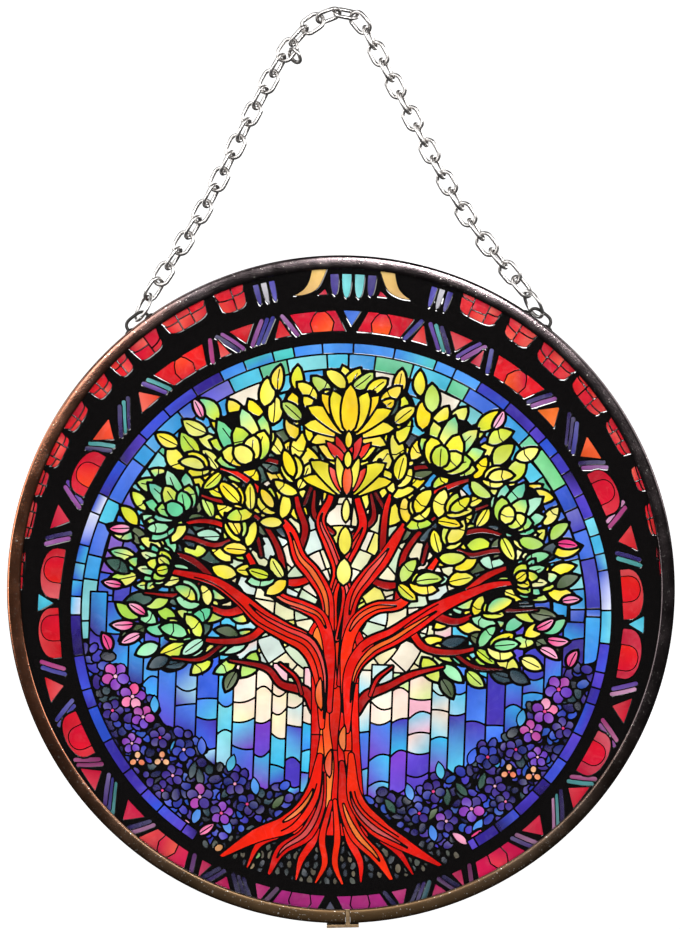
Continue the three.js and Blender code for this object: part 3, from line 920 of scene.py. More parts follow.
def draw_outer_cells(canvas):
    """The outermost cells, which the rim cuts off."""
    chance = random.Random(131)
    first_scallop, last_scallop = 18.6, 84
    for side in (-1, 1):
        def place(angle):
            return side * angle

        draw_drop(canvas, place, 1.1, 0.95, 4.0, srgb("#6fcdd0"))
        draw_drop(canvas, place, 3.2, 0.85, 3.4, srgb("#3d2f86"))
        for k, tint in enumerate(("#5b53b8", "#c4c0c8", "#3b2f8e")):
            draw_drop(canvas, place, 13.9 + 1.4 * k, 0.62, 3.4, srgb(tint))
        horn = curve([(side * 13.4, 70.9), (side * 10.8, 71.9), (side * 8.8, 73.8), (side * 7.6, 77.5)])
        canvas.ribbon(horn, spaced((0.3, 1.6, 2.9, 3.6), len(horn)), (GOLD[1], GOLD[2], 90), 0.5)
        canvas.shape([(side * 8.2, 71.2), (side * 5.4, 71.4), (side * 6.2, 73.0)], CRIMSON[3], 0.4)
        angle = first_scallop
        while angle < last_scallop:
            span = 3.2 + 7.0 * chance.random()
            rise = RIM_REACH - PICTURE_SHIFT[1] * math.cos(math.radians(angle + span / 2)) - RING_OUTER
            draw_scallop(canvas, side, angle, angle + span, rise * (0.75 + 0.25 * chance.random()), chance)
            angle += span + 0.5 + 1.3 * chance.random()


def draw_picture():
    """The whole picture, from the back to the front."""
    canvas = Canvas(PANEL_RADIUS, STEP, PICTURE_SHIFT, math.radians(PICTURE_TILT))
    draw_sky(canvas)
    draw_strips(canvas)
    draw_thicket(canvas)
    draw_flowers(canvas)
    draw_ground(canvas)
    draw_crown(canvas)
    draw_tree(canvas)
    draw_tufts(canvas)
    draw_rosettes(canvas)
    draw_buds(canvas)
    draw_bloom(canvas)
    draw_tiles(canvas)
    draw_band(canvas)
    draw_outer_cells(canvas)
    canvas.ease()
    return canvas


# ---- from the drawing to outlines ----
# how an outline crosses a cell, by which of its corners lie in the pane: bottom, right, top, left
CROSSINGS = {
    1: ("BL",), 2: ("RB",), 3: ("RL",), 4: ("TR",), 5: ("BL", "TR"), 6: ("TB",), 7: ("TL",),
    8: ("LT",), 9: ("BT",), 10: ("RB", "LT"), 11: ("RT",), 12: ("LR",), 13: ("BR",), 14: ("LB",),
}


def outlines(field, level, low, step):
    """Closed outlines of the field at a level, each an array of points."""
    count = field.shape[1]
    size = field.size
    above = (field > level).astype(int)
    cases = above[:-1, :-1] + 2 * above[:-1, 1:] + 4 * above[1:, 1:] + 8 * above[1:, :-1]
    follow = np.full(2 * size, -1)
    for case, ways in CROSSINGS.items():
        row, column = np.nonzero(cases == case)
        corner = row * count + column
        side = {"B": corner, "T": corner + count, "L": size + corner, "R": size + corner + 1}
        for enters, leaves in ways:
            follow[side[enters]] = side[leaves]
    starts = np.nonzero(follow >= 0)[0]
    corner = starts % size
    flat = field.ravel()
    across = starts < size
    other = corner + np.where(across, 1, count)
    share = (level - flat[corner]) / (flat[other] - flat[corner])
    x = low + step * (corner % count + np.where(across, share, 0))
    y = low + step * (corner // count + np.where(across, 0, share))
    points = np.stack([x, y], 1)
    index = np.zeros(2 * size, int)
    index[starts] = np.arange(len(starts))
    after = index[follow[starts]].tolist()
    seen = [False] * len(starts)
    loops = []
    for begin in range(len(starts)):
        if seen[begin]:
            continue
        loop = []
        here = begin
        while not seen[here]:
            seen[here] = True
            loop.append(here)
            here = after[here]
        loops.append(points[loop])
    return loops


def loop_area(loop):
    """The area inside a closed outline."""
    x, y = loop[:, 0], loop[:, 1]
    return abs((x * np.roll(y, -1) - y * np.roll(x, -1)).sum()) / 2


def thinned(loop, tolerance):
    """The corners that keep a closed outline within tolerance."""
    keep = np.zeros(len(loop) + 1, bool)
    far = int(np.argmax(((loop - loop[0]) ** 2).sum(1)))
    keep[[0, far]] = True
    ring = np.vstack([loop, loop[:1]])
    spans = [(0, far), (far, len(loop))]
    while spans:
        first, last = spans.pop()
        if last - first < 2:
            continue
        way = ring[last] - ring[first]
        off = ring[first + 1:last] - ring[first]
        apart = np.abs(off[:, 0] * way[1] - off[:, 1] * way[0]) / max(np.hypot(*way), 1e-9)
        worst = int(np.argmax(apart))
        if apart[worst] > tolerance:
            middle = first + 1 + worst
            keep[middle] = True
            spans += [(first, middle), (middle, last)]
    return loop[keep[:-1]]


def cut_up(loops):
    """Triangles between the outlines, the area each belongs to, and each corner's place among the points."""
    points = []
    edges = []
    for loop in loops:
        first = len(points)
        points += [Vector(p) for p in loop.tolist()]
        edges += [(first + i, first + (i + 1) % len(loop)) for i in range(len(loop))]
    cut = delaunay_2d_cdt(points, edges, [], 0, 1e-6)
    corners = np.array([tuple(p) for p in cut[0]])
    source = np.array([min(places, default=-1) for places in cut[3]])
    triangles = np.array(cut[2])
    walls = {tuple(sorted(edge)) for edge, outline in zip(cut[1], cut[4]) if outline}
    neighbours = {}
    for number, (a, b, c) in enumerate(cut[2]):
        for edge in ((a, b), (b, c), (c, a)):
            edge = (min(edge), max(edge))
            if edge not in walls:
                neighbours.setdefault(edge, []).append(number)
    joined = [[] for _ in cut[2]]
    for pair in neighbours.values():
        if len(pair) == 2:
            joined[pair[0]].append(pair[1])
            joined[pair[1]].append(pair[0])
    area = np.full(len(triangles), -1)
    count = 0
    for begin in range(len(triangles)):
        if area[begin] >= 0:
            continue
        area[begin] = count
        waiting = [begin]
        while waiting:
            for other in joined[waiting.pop()]:
                if area[other] < 0:
                    area[other] = count
                    waiting.append(other)
        count += 1
    return corners, triangles, area, source


def area_panes(canvas, field, corners, triangles, area):
    """The number of each triangle's pane in the drawing: 0 is lead, -1 lies outside the panel."""
    a, b, c = (corners[triangles[:, k]] for k in range(3))
    middle = (a + b + c) / 3
    size = np.abs(np.cross(b - a, c - a))
    biggest = np.zeros(area.max() + 1, int)
    order = np.argsort(size)
    biggest[area[order]] = order
    spot = middle[biggest]
    cell = np.clip(((spot - canvas.low) / canvas.step + 0.5).astype(int), 0, len(canvas.line) - 1)
    pane = np.where(field[cell[:, 1], cell[:, 0]] > 0, canvas.pane[cell[:, 1], cell[:, 0]], 0)
    pane[np.hypot(*spot.T) > SHEET_RADIUS] = -1
    return pane[area]


# ---- meshes ----
def add_object(name, data):
    """A new object in the scene."""
    made = bpy.data.objects.new(name, data)
    bpy.context.scene.collection.objects.link(made)
    return made


def piece_from(name, bm, materials, node=None, smooth=True):
    """Makes the finished piece: on the one rigid body, in place of its solid."""
    bmesh.ops.recalc_face_normals(bm, faces=bm.faces)
    mesh = bpy.data.meshes.new(name)
    bm.to_mesh(mesh)
    bm.free()
    mesh.polygons.foreach_set("use_smooth", [smooth] * len(mesh.polygons))
    for material in materials:
        mesh.materials.append(material)
    piece = add_object(name, mesh)
    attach(piece, "root")
    if node:
        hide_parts(node)
    return piece


def crease(piece, degrees):
    """Keeps edges sharper than this angle crisp."""
    piece.data.set_sharp_from_angle(angle=math.radians(degrees))


def flat_mesh(corners, triangles, heights):
    """The chosen triangles of the drawing as a mesh, upright behind the rim; height is towards -Y."""
    used, index = np.unique(triangles, return_inverse=True)
    bm = bmesh.new()
    for (x, y), height in zip(corners[used].tolist(), heights[used].tolist()):
        bm.verts.new((CENTRE.x + x * MM, GLASS_LOW.y - height * MM, CENTRE.z + y * MM))
    bm.verts.ensure_lookup_table()
    verts = list(bm.verts)
    for a, b, c in index.reshape(-1, 3).tolist():
        bm.faces.new((verts[a], verts[b], verts[c]))
    return bm


def close_ends(bm):
    """Fills the open ends of a bent wire or channel."""
    bmesh.ops.holes_fill(bm, edges=[e for e in bm.edges if e.is_boundary], sides=0)


def ring_of_wire(wire, reach, steps, sides, angle=2 * math.pi):
    """A ring of round wire about local Z; reach is to the middle of the wire."""
    bm = bmesh.new()
    lay = Matrix.Translation((reach, 0, 0)) @ Matrix.Rotation(math.pi / 2, 4, "X")
    whole = angle > 2 * math.pi - 1e-6
    bmesh.ops.create_circle(bm, cap_ends=False, segments=sides, radius=wire / 2, matrix=lay)
    bmesh.ops.spin(bm, geom=bm.verts[:] + bm.edges[:], cent=(0, 0, 0), axis=(0, 0, 1), angle=angle,
                   steps=steps, use_merge=whole)
    if not whole:
        close_ends(bm)
    return bm


def node_axes(node_name):
    """The middle of a solid and its three axes, the longest first, with its size along each."""
    points = np.array([v.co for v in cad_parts[node_name].data.vertices])
    middle = (points.max(0) + points.min(0)) / 2
    axes = np.linalg.svd(points - points.mean(0), full_matrices=False)[2]
    if np.dot(np.cross(axes[0], axes[1]), axes[2]) < 0:
        axes[2] = -axes[2]
    size = (points @ axes.T).max(0) - (points @ axes.T).min(0)
    turn = Matrix([axes[:, k] for k in range(3)]).to_4x4()
    return Matrix.Translation(Vector(middle)) @ turn, size


# ---- finishes ----
def new_finish(name, **values):
    """A material with its shader, whose even values are set on the shader itself."""
    material = bpy.data.materials.new(name)
    material.use_nodes = True
    shader = material.node_tree.nodes["Principled BSDF"]
    for socket, value in values.items():
        shader.inputs[socket.replace("_", " ")].default_value = value
    return material, material.node_tree, shader


def node(tree, kind, x, y, **settings):
    """A shader node at this place in the tree, with its inputs or settings given their values."""
    made = tree.nodes.new(kind)
    made.location = (x, y)
    for name, value in settings.items():
        if name in made.inputs:
            made.inputs[name].default_value = value
        else:
            setattr(made, name, value)
    return made


def noise(tree, x, y, scale, detail=3.0, roughness=0.55):
    """Noise that follows the piece's own coordinates."""
    coordinates = node(tree, "ShaderNodeTexCoord", x - 400, y)
    grain = node(tree, "ShaderNodeTexNoise", x, y, Scale=scale, Detail=detail, Roughness=roughness)
    tree.links.new(coordinates.outputs["Object"], grain.inputs["Vector"])
    return grain


def spread(tree, source, x, y, low, high, first=0.3, last=0.7):
    """Turns a value that runs from first to last into one that runs from low to high."""
    made = node(tree, "ShaderNodeMapRange", x, y)
    for socket, value in (("From Min", first), ("From Max", last), ("To Min", low), ("To Max", high)):
        made.inputs[socket].default_value = value
    tree.links.new(source, made.inputs["Value"])
    return made.outputs["Result"]


def blend_colours(tree, share, first, second, x, y, way="MIX"):
    """Mixes two colours, each a value or a socket."""
    made = node(tree, "ShaderNodeMix", x, y, data_type="RGBA", blend_type=way)
    for socket, colour in ((made.inputs[6], first), (made.inputs[7], second)):
        if isinstance(colour, bpy.types.NodeSocket):
            tree.links.new(colour, socket)
        else:
            socket.default_value = (*colour, 1)
    if isinstance(share, bpy.types.NodeSocket):
        tree.links.new(share, made.inputs[0])
    else:
        made.inputs[0].default_value = share
    return made.outputs[2]


def add_bump(tree, shader, source, strength, depth):
    """Raises and lowers the surface with this value, by up to the depth in metres."""
    bump = node(tree, "ShaderNodeBump", -250, -350, Strength=strength, Distance=depth)
    tree.links.new(source, bump.inputs["Height"])
    tree.links.new(bump.outputs["Normal"], shader.inputs["Normal"])


def clouded_finish(name, scale, detail, dark, light, polished, dull, **values):
    """A finish whose colour and polish drift together, from dark and polished to light and dull."""
    material, tree, shader = new_finish(name, **values)
    cloud = noise(tree, -600, 0, scale, detail).outputs["Fac"]
    tree.links.new(blend_colours(tree, cloud, dark, light, -300, 100), shader.inputs["Base Color"])
    tree.links.new(spread(tree, cloud, -300, -100, polished, dull), shader.inputs["Roughness"])
    return material, tree, shader, cloud


def pane_finish():
    """Coloured glass, streaked and rippled, with each pane's own colour."""
    material, tree, shader = new_finish("coloured_glass", Transmission_Weight=0.35, IOR=1.5)
    tint = node(tree, "ShaderNodeVertexColor", -1200, 200, layer_name="pane_tint")
    streaks = noise(tree, -1000, 0, 260, 4, 0.6)
    streaks.inputs["Distortion"].default_value = 1.6
    share = spread(tree, streaks.outputs["Fac"], -800, 0, 0.0, 0.035, 0.5, 0.75)
    lighter = blend_colours(tree, share, tint.outputs["Color"], (0.85, 0.82, 0.80), -500, 200)
    cloud = noise(tree, -1000, -300, 140, 3)
    dark = spread(tree, cloud.outputs["Fac"], -800, -300, 0.72, 1.04)
    body = blend_colours(tree, 1.0, lighter, dark, -250, 200, "MULTIPLY")
    tree.links.new(body, shader.inputs["Base Color"])
    wear = noise(tree, -600, -200, 900, 2)
    tree.links.new(spread(tree, wear.outputs["Fac"], -400, -200, 0.06, 0.16), shader.inputs["Roughness"])
    ripple = noise(tree, -600, -450, 420, 2)
    add_bump(tree, shader, ripple.outputs["Fac"], 0.1, 0.0003)
    return material


def lead_finish():
    """Glossy black leading, a little uneven."""
    dark, light = (0.0012, 0.001, 0.001), (0.003, 0.0025, 0.0025)
    return clouded_finish("black_leading", 1500, 3, dark, light, 0.03, 0.06, Specular_IOR_Level=0.4)[0]


def clear_finish():
    """The clear sheet behind the picture."""
    material, tree, shader = new_finish("clear_glass", Transmission_Weight=1.0, IOR=1.5, Roughness=0.02)
    shader.inputs["Base Color"].default_value = (0.97, 0.985, 0.98, 1)
    ripple = noise(tree, -600, -300, 60, 1)
    add_bump(tree, shader, ripple.outputs["Fac"], 0.05, 0.0004)
    return material


def rim_finish():
    """Polished blackened channel, mottled, with painted warm reflections in its colour: copper towards the
    left side and olive towards the foot, where it is also duller.
    """
    material, tree, shader = new_finish("gunmetal_channel", Metallic=1.0)
    place = node(tree, "ShaderNodeTexCoord", -1400, 300)
    centred = node(tree, "ShaderNodeMapping", -1200, 300)
    centred.inputs["Location"].default_value = (-CENTRE.x, 0, -CENTRE.z)
    tree.links.new(place.outputs["Object"], centred.inputs["Vector"])
    parts = node(tree, "ShaderNodeSeparateXYZ", -1000, 300)
    tree.links.new(centred.outputs["Vector"], parts.inputs[0])
    # painted reflection: these shares turn the base colour copper towards the left side and olive towards the
    # foot, in place of warm reflections on the dark metal
    left = spread(tree, parts.outputs["X"], -800, 400, 1.0, 0.0, -RIM_RADIUS, -RIM_RADIUS * 0.45)
    foot = spread(tree, parts.outputs["Z"], -800, 200, 1.0, 0.0, -RIM_RADIUS, -RIM_RADIUS * 0.35)
    grain = noise(tree, -1000, -50, 160, 5, 0.65)
    mottled = blend_colours(tree, spread(tree, grain.outputs["Fac"], -800, -50, 0, 1), (0.05, 0.04, 0.042),
                            (0.10, 0.08, 0.082), -600, 0)
    # painted warm reflections: copper on the left side, then olive at the foot
    painted_copper_reflection = blend_colours(tree, left, mottled, (0.32, 0.125, 0.065), -400, 200)
    painted_olive_reflection = blend_colours(tree, foot, painted_copper_reflection, (0.105, 0.062, 0.028), -200, 200)
    specks = noise(tree, -1000, -300, 2200, 2)
    bright = spread(tree, specks.outputs["Fac"], -800, -300, 0.0, 0.8, 0.66, 0.74)
    speckled = blend_colours(tree, bright, painted_olive_reflection, (0.75, 0.72, 0.66), 0, 200)
    tree.links.new(speckled, shader.inputs["Base Color"])
    dull = node(tree, "ShaderNodeMath", -200, -150)
    tree.links.new(spread(tree, grain.outputs["Fac"], -400, -150, 0.12, 0.2), dull.inputs[0])
    tree.links.new(spread(tree, parts.outputs["Z"], -400, -350, 0.24, 0.0, -RIM_RADIUS, -RIM_RADIUS * 0.5),
                   dull.inputs[1])
    tree.links.new(dull.outputs[0], shader.inputs["Roughness"])
    add_bump(tree, shader, specks.outputs["Fac"], 0.08, 0.0002)
    shader.location = (300, 100)
    return material


def nickel_finish():
    """Bright plated wire with a faint cloudiness."""
    dark, light = (0.48, 0.46, 0.445), (0.72, 0.69, 0.665)
    material, tree, shader, cloud = clouded_finish("bright_nickel", 700, 3, dark, light, 0.26, 0.38,
                                                   Metallic=1.0)
    add_bump(tree, shader, cloud, 0.08, 0.0002)
    return material


def black_wire_finish():
    """Blackened wire and the solder at its feet."""
    dark, light = (0.008, 0.007, 0.007), (0.05, 0.045, 0.04)
    material, tree, shader, grain = clouded_finish("blackened_wire", 2500, 3, dark, light, 0.25, 0.5,
                                                   Metallic=0.6)
    add_bump(tree, shader, grain, 0.3, 0.0003)
    return material


def brass_finish():
    """Dull tan brass of the splice."""
    dark, light = (0.20, 0.12, 0.055), (0.55, 0.38, 0.22)
    material, tree, shader, grain = clouded_finish("tan_brass", 1200, 4, dark, light, 0.3, 0.5, Metallic=1.0)
    add_bump(tree, shader, grain, 0.2, 0.0002)
    return material


def pale_finish(name, glow):
    """Pale paper for the floor, the screen behind and the wall."""
    material, tree, shader = new_finish(name, Roughness=0.8)
    grain = noise(tree, -600, 0, 40, 3)
    colour = blend_colours(tree, grain.outputs["Fac"], (0.86, 0.86, 0.855), (0.9, 0.9, 0.9), -300, 100)
    tree.links.new(colour, shader.inputs["Base Color"])
    if glow:
        shader.inputs["Emission Color"].default_value = (1, 1, 1, 1)
        shader.inputs["Emission Strength"].default_value = glow
    return material


# ---- settings ----
class SuncatcherPanelSettings(bpy.types.PropertyGroup):
    sheet: FloatProperty(name="Colour thickness", description="Thickness of the coloured sheet",
                         default=0.12 * MM, unit="LENGTH", precision=5)
    leading: FloatProperty(name="Leading height", description="How far the leading stands out",
                           default=0.2 * MM, unit="LENGTH", precision=5)
    shoulder: FloatProperty(name="Leading shoulder", description="Width of the leading's rounded edge",
                            default=0.11 * MM, unit="LENGTH", precision=5)
    brow: FloatProperty(name="Leading brow", description="How far from its edge wide leading is full height",
                        default=0.45 * MM, unit="LENGTH", precision=5)
    smallest: FloatProperty(name="Smallest pane", description="Panes below this many square mm become lead",
                            default=0.12)


class SuncatcherRimSettings(bpy.types.PropertyGroup):
    lip: FloatProperty(name="Lip", description="Width of the rim's face", default=3.1 * MM, unit="LENGTH",
                       precision=5)
    crown: FloatProperty(name="Crown", description="How far the middle of the rim's face stands out",
                         default=0.08 * MM, unit="LENGTH", precision=5)
    corner: FloatProperty(name="Corner", description="Depth of the rounding at the edges of the rim's face",
                          default=0.3 * MM, unit="LENGTH", precision=5)
    steps: IntProperty(name="Crown steps", description="Facets across the rim's face", default=14)
    clearance: FloatProperty(name="Glass clearance", description="Room beside the glass in the channel",
                             default=0.3 * MM, unit="LENGTH", precision=5)
    web: FloatProperty(name="Wall", description="Thickness of the outer wall", default=0.8 * MM,
                       unit="LENGTH", precision=5)
    joint: FloatProperty(name="Joint", description="Gap at the rim's joint", default=1.1 * MM,
                         unit="LENGTH", precision=5)
    joint_angle: FloatProperty(name="Joint angle", description="The joint's place from straight down to +X",
                               default=math.radians(1.2), subtype="ANGLE")


class SuncatcherChainSettings(bpy.types.PropertyGroup):
    link_wire: FloatProperty(name="Link wire", description="Thickness of the chain's wire",
                             default=0.95 * MM, unit="LENGTH", precision=5)
    link_width: FloatProperty(name="Link width", description="Outside width of a link",
                              default=4.5 * MM, unit="LENGTH", precision=5)
    ring_wire: FloatProperty(name="Ring wire", description="Thickness of the jump rings' wire",
                             default=0.85 * MM, unit="LENGTH", precision=5)
    loop_wire: FloatProperty(name="Loop wire", description="Thickness of the hanging loops' wire",
                             default=0.75 * MM, unit="LENGTH", precision=5)
    facets: IntProperty(name="Facets", description="Sides of the wire's section", default=12)
    snug: FloatProperty(name="Snug", description="How much narrower a link is than its solid",
                        default=0.04 * MM, unit="LENGTH", precision=5)


class SuncatcherStageSettings(bpy.types.PropertyGroup):
    view_height: FloatProperty(name="View height", description="Height that the camera takes in",
                               default=0.2085, unit="LENGTH")
    lens: FloatProperty(name="Lens", description="Focal length in mm", default=150)
    aim: FloatVectorProperty(name="Aim", description="Where the camera looks", size=3,
                             default=(-0.0002, 0, -0.1004), subtype="XYZ", unit="LENGTH")


# ---- operators ----
class SUNCATCHER_OT_picture(bpy.types.Operator):
    """Draw the picture and cut it into coloured panes and raised leading on clear glass"""
    bl_idname = "suncatcher.picture"
    bl_label = "Picture panel"

    def execute(self, context):
        settings = context.scene.suncatcher_panel
        canvas = draw_picture()
        across, up = np.meshgrid(canvas.line, canvas.line)
        reach = np.hypot(across, up)
        inside = np.where(reach > SHEET_RADIUS - LEAD_EDGE, -1, canvas.gap)
        field = np.maximum(inside, reach - SHEET_RADIUS)
        depths = (0, settings.shoulder / MM, settings.brow / MM)
        loops = [self.loops(canvas, field, -depth, settings.smallest) for depth in depths]
        lead = lead_finish()
        self.make_sheet(canvas, field, loops[0], settings, lead)
        self.make_leading(canvas, field, loops, settings, lead)
        self.make_backing(settings)
        return {"FINISHED"}

    def loops(self, canvas, field, level, smallest):
        """The outlines at this level, without the very small ones and without needless points."""
        tolerance = 0.016
        found = outlines(field, level, canvas.low, canvas.step)
        return [thinned(loop, tolerance) for loop in found if loop_area(loop) > smallest]

    def make_sheet(self, canvas, field, edges, settings, lead):
        """The thin coloured sheet, whole under the leading, where it is black."""
        corners, triangles, area, _ = cut_up(edges)
        pane = area_panes(canvas, field, corners, triangles, area)
        kept = pane >= 0
        triangles, pane = triangles[kept], pane[kept]
        bm = flat_mesh(corners, triangles, np.zeros(len(corners)))
        number = bm.faces.layers.int.new("pane")
        for face, value in zip(bm.faces, pane.tolist()):
            face[number] = value
            face.material_index = 0 if value else 1
        bmesh.ops.reverse_faces(bm, faces=[f for f in bm.faces if f.normal.y > 0])
        bmesh.ops.solidify(bm, geom=bm.faces[:], thickness=settings.sheet)
        sheet = piece_from("picture_panes", bm, (pane_finish(), lead), smooth=False)
        self.tint(sheet.data, canvas)

    def tint(self, mesh, canvas):
        """Gives each pane its colours, which run from one side of it to the other."""
        faces, corners = len(mesh.polygons), len(mesh.loops)
        pane, count, vertex = np.zeros(faces, int), np.zeros(faces, int), np.zeros(corners, int)
        place = np.zeros(len(mesh.vertices) * 3)
        mesh.attributes["pane"].data.foreach_get("value", pane)
        mesh.polygons.foreach_get("loop_total", count)
        mesh.loops.foreach_get("vertex_index", vertex)
        mesh.vertices.foreach_get("co", place)
        pane = np.repeat(pane, count)
        place = place.reshape(-1, 3)[vertex] / MM
        black = (0.01, 0.01, 0.01)
        tints = [(black, black, 0)] + canvas.tints[1:]
        first, second = (np.array([tint[k] for tint in tints]) for k in (0, 1))
        way = np.radians([tint[2] for tint in tints])[pane]
        lean = place[:, 0] * np.cos(way) + place[:, 2] * np.sin(way)
        low, high = np.full(len(tints), 1e9), np.full(len(tints), -1e9)
        np.minimum.at(low, pane, lean)
        np.maximum.at(high, pane, lean)
        share = (lean - low[pane]) / np.maximum(high - low, 1.5)[pane]
        colour = first[pane] + (second - first)[pane] * share[:, None]
        tint = mesh.color_attributes.new("pane_tint", "FLOAT_COLOR", "CORNER")
        tint.data.foreach_set("color", np.hstack([colour, np.ones((corners, 1))]).ravel())

    def make_leading(self, canvas, field, loops, settings, lead):
        """Leading that swells from its foot over a shoulder to its crest, flat underneath."""
        corners, triangles, area, source = cut_up([loop for group in loops for loop in group])
        ends = np.cumsum([sum(len(loop) for loop in group) for group in loops])
        stage = np.searchsorted(ends, source, side="right")
        heights = np.array([-SUNK, settings.leading * 0.6, settings.leading])[stage] / MM
        top = triangles[area_panes(canvas, field, corners, triangles, area) == 0]
        feet, triangles, area, _ = cut_up(loops[0])
        under = triangles[area_panes(canvas, field, feet, triangles, area) == 0][:, ::-1]
        bm = flat_mesh(np.vstack([corners, feet]), np.vstack([top, under + len(corners)]),
                       np.append(heights, np.full(len(feet), -SUNK / MM)))
        bmesh.ops.remove_doubles(bm, verts=bm.verts, dist=1e-8)
        leading = piece_from("raised_leading", bm, (lead,))
        self.round_over(leading.data, settings)

    def round_over(self, mesh, settings):
        """Turns the leading's shading from level on its crest to steep at its foot, most in the border."""
        picture = CENTRE + Vector((PICTURE_SHIFT[0], 0, PICTURE_SHIFT[1])) * MM
        normals = []
        for vertex in mesh.vertices:
            sideways = Vector((vertex.normal.x, 0, vertex.normal.z))
            height = (GLASS_LOW.y - vertex.co.y) / settings.leading
            border = math.hypot(vertex.co.x, vertex.co.z - picture.z) > TILE_OUTER * MM
            steep, gentle = (60, 8) if border else (10, 0)
            lean = math.radians(steep if height < 0.3 else gentle if height < 0.8 else 0)
            if sideways.length < 1e-6:
                lean = 0
            else:
                sideways.normalize()
            normals.append(sideways * math.sin(lean) + Vector((0, -math.cos(lean), 0)))
        mesh.normals_split_custom_set_from_vertices(normals)

    def make_backing(self, settings):
        """The clear glass disc behind the coloured sheet, with its edges broken."""
        bm = bmesh.new()
        front = GLASS_LOW.y + settings.sheet + SUNK
        depth = GLASS_HIGH.y - front
        middle = Vector((CENTRE.x, front + depth / 2, CENTRE.z))
        lay = Matrix.Translation(middle) @ Matrix.Rotation(math.pi / 2, 4, "X")
        bmesh.ops.create_cone(bm, cap_ends=True, segments=192, radius1=PANEL_RADIUS * MM,
                              radius2=PANEL_RADIUS * MM, depth=depth, matrix=lay)
        sharp = [e for e in bm.edges if e.calc_face_angle(0) > 1]
        bmesh.ops.bevel(bm, geom=sharp, offset=0.2 * MM, segments=2, profile=0.5, affect="EDGES", material=-1)
        piece_from("clear_backing", bm, (clear_finish(),), "picture_glass_panel",
                   smooth=False)


class SUNCATCHER_OT_rim(bpy.types.Operator):
    """Bend the channel round the panel and close its joint with the splice"""
    bl_idname = "suncatcher.rim"
    bl_label = "Rim and splice"

    def execute(self, context):
        settings = context.scene.suncatcher_rim
        self.make_channel(settings)
        self.make_splice()
        return {"FINISHED"}

    def make_channel(self, settings):
        """The channel's section, turned round the centre from one side of the joint to the other."""
        half = settings.lip / 2
        middle = RIM_RADIUS - half
        base = RIM_HIGH.y - settings.crown - settings.corner
        across = [-math.cos(math.pi * i / settings.steps) for i in range(settings.steps + 1)]
        face = [(middle + half * u,
                 base + settings.crown * (1 - u * u) + settings.corner * (1 - u ** 8) ** 0.5) for u in across]
        floor = RIM_RADIUS - settings.web
        slot_half = GLASS_HIGH.y + settings.clearance
        groove = [(middle - half, slot_half), (floor, slot_half), (floor, -slot_half),
                  (middle - half, -slot_half)]
        profile = groove + [(r, -y) for r, y in face] + [(r, y) for r, y in reversed(face)]
        bm = bmesh.new()
        verts = [bm.verts.new((r, y, 0)) for r, y in profile]
        for a, b in zip(verts, verts[1:] + verts[:1]):
            bm.edges.new((a, b))
        half_gap = settings.joint / 2 / RIM_RADIUS
        start = math.pi / 2 - settings.joint_angle + half_gap
        bmesh.ops.rotate(bm, verts=bm.verts, cent=(0, 0, 0), matrix=Matrix.Rotation(start, 3, "Y"))
        bmesh.ops.spin(bm, geom=bm.verts[:] + bm.edges[:], cent=(0, 0, 0), axis=(0, 1, 0),
                       angle=2 * math.pi - 2 * half_gap, steps=288, use_merge=False)
        close_ends(bm)
        bmesh.ops.translate(bm, verts=bm.verts, vec=CENTRE)
        rim = piece_from("channel_rim", bm, (rim_finish(),), "rim_channel")
        crease(rim, 35)

    def make_splice(self):
        """The splice's solid with its edges broken."""
        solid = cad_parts["rim_splice"].data
        bm = bmesh.new()
        bm.from_mesh(solid)
        bmesh.ops.remove_doubles(bm, verts=bm.verts, dist=1e-6)
        bmesh.ops.dissolve_limit(bm, angle_limit=math.radians(1), verts=bm.verts, edges=bm.edges)
        bmesh.ops.bevel(bm, geom=bm.edges[:], offset=0.08 * MM, segments=2, profile=0.5, affect="EDGES",
                        material=-1)
        piece_from("brass_splice", bm, (brass_finish(),), "rim_splice", smooth=False)


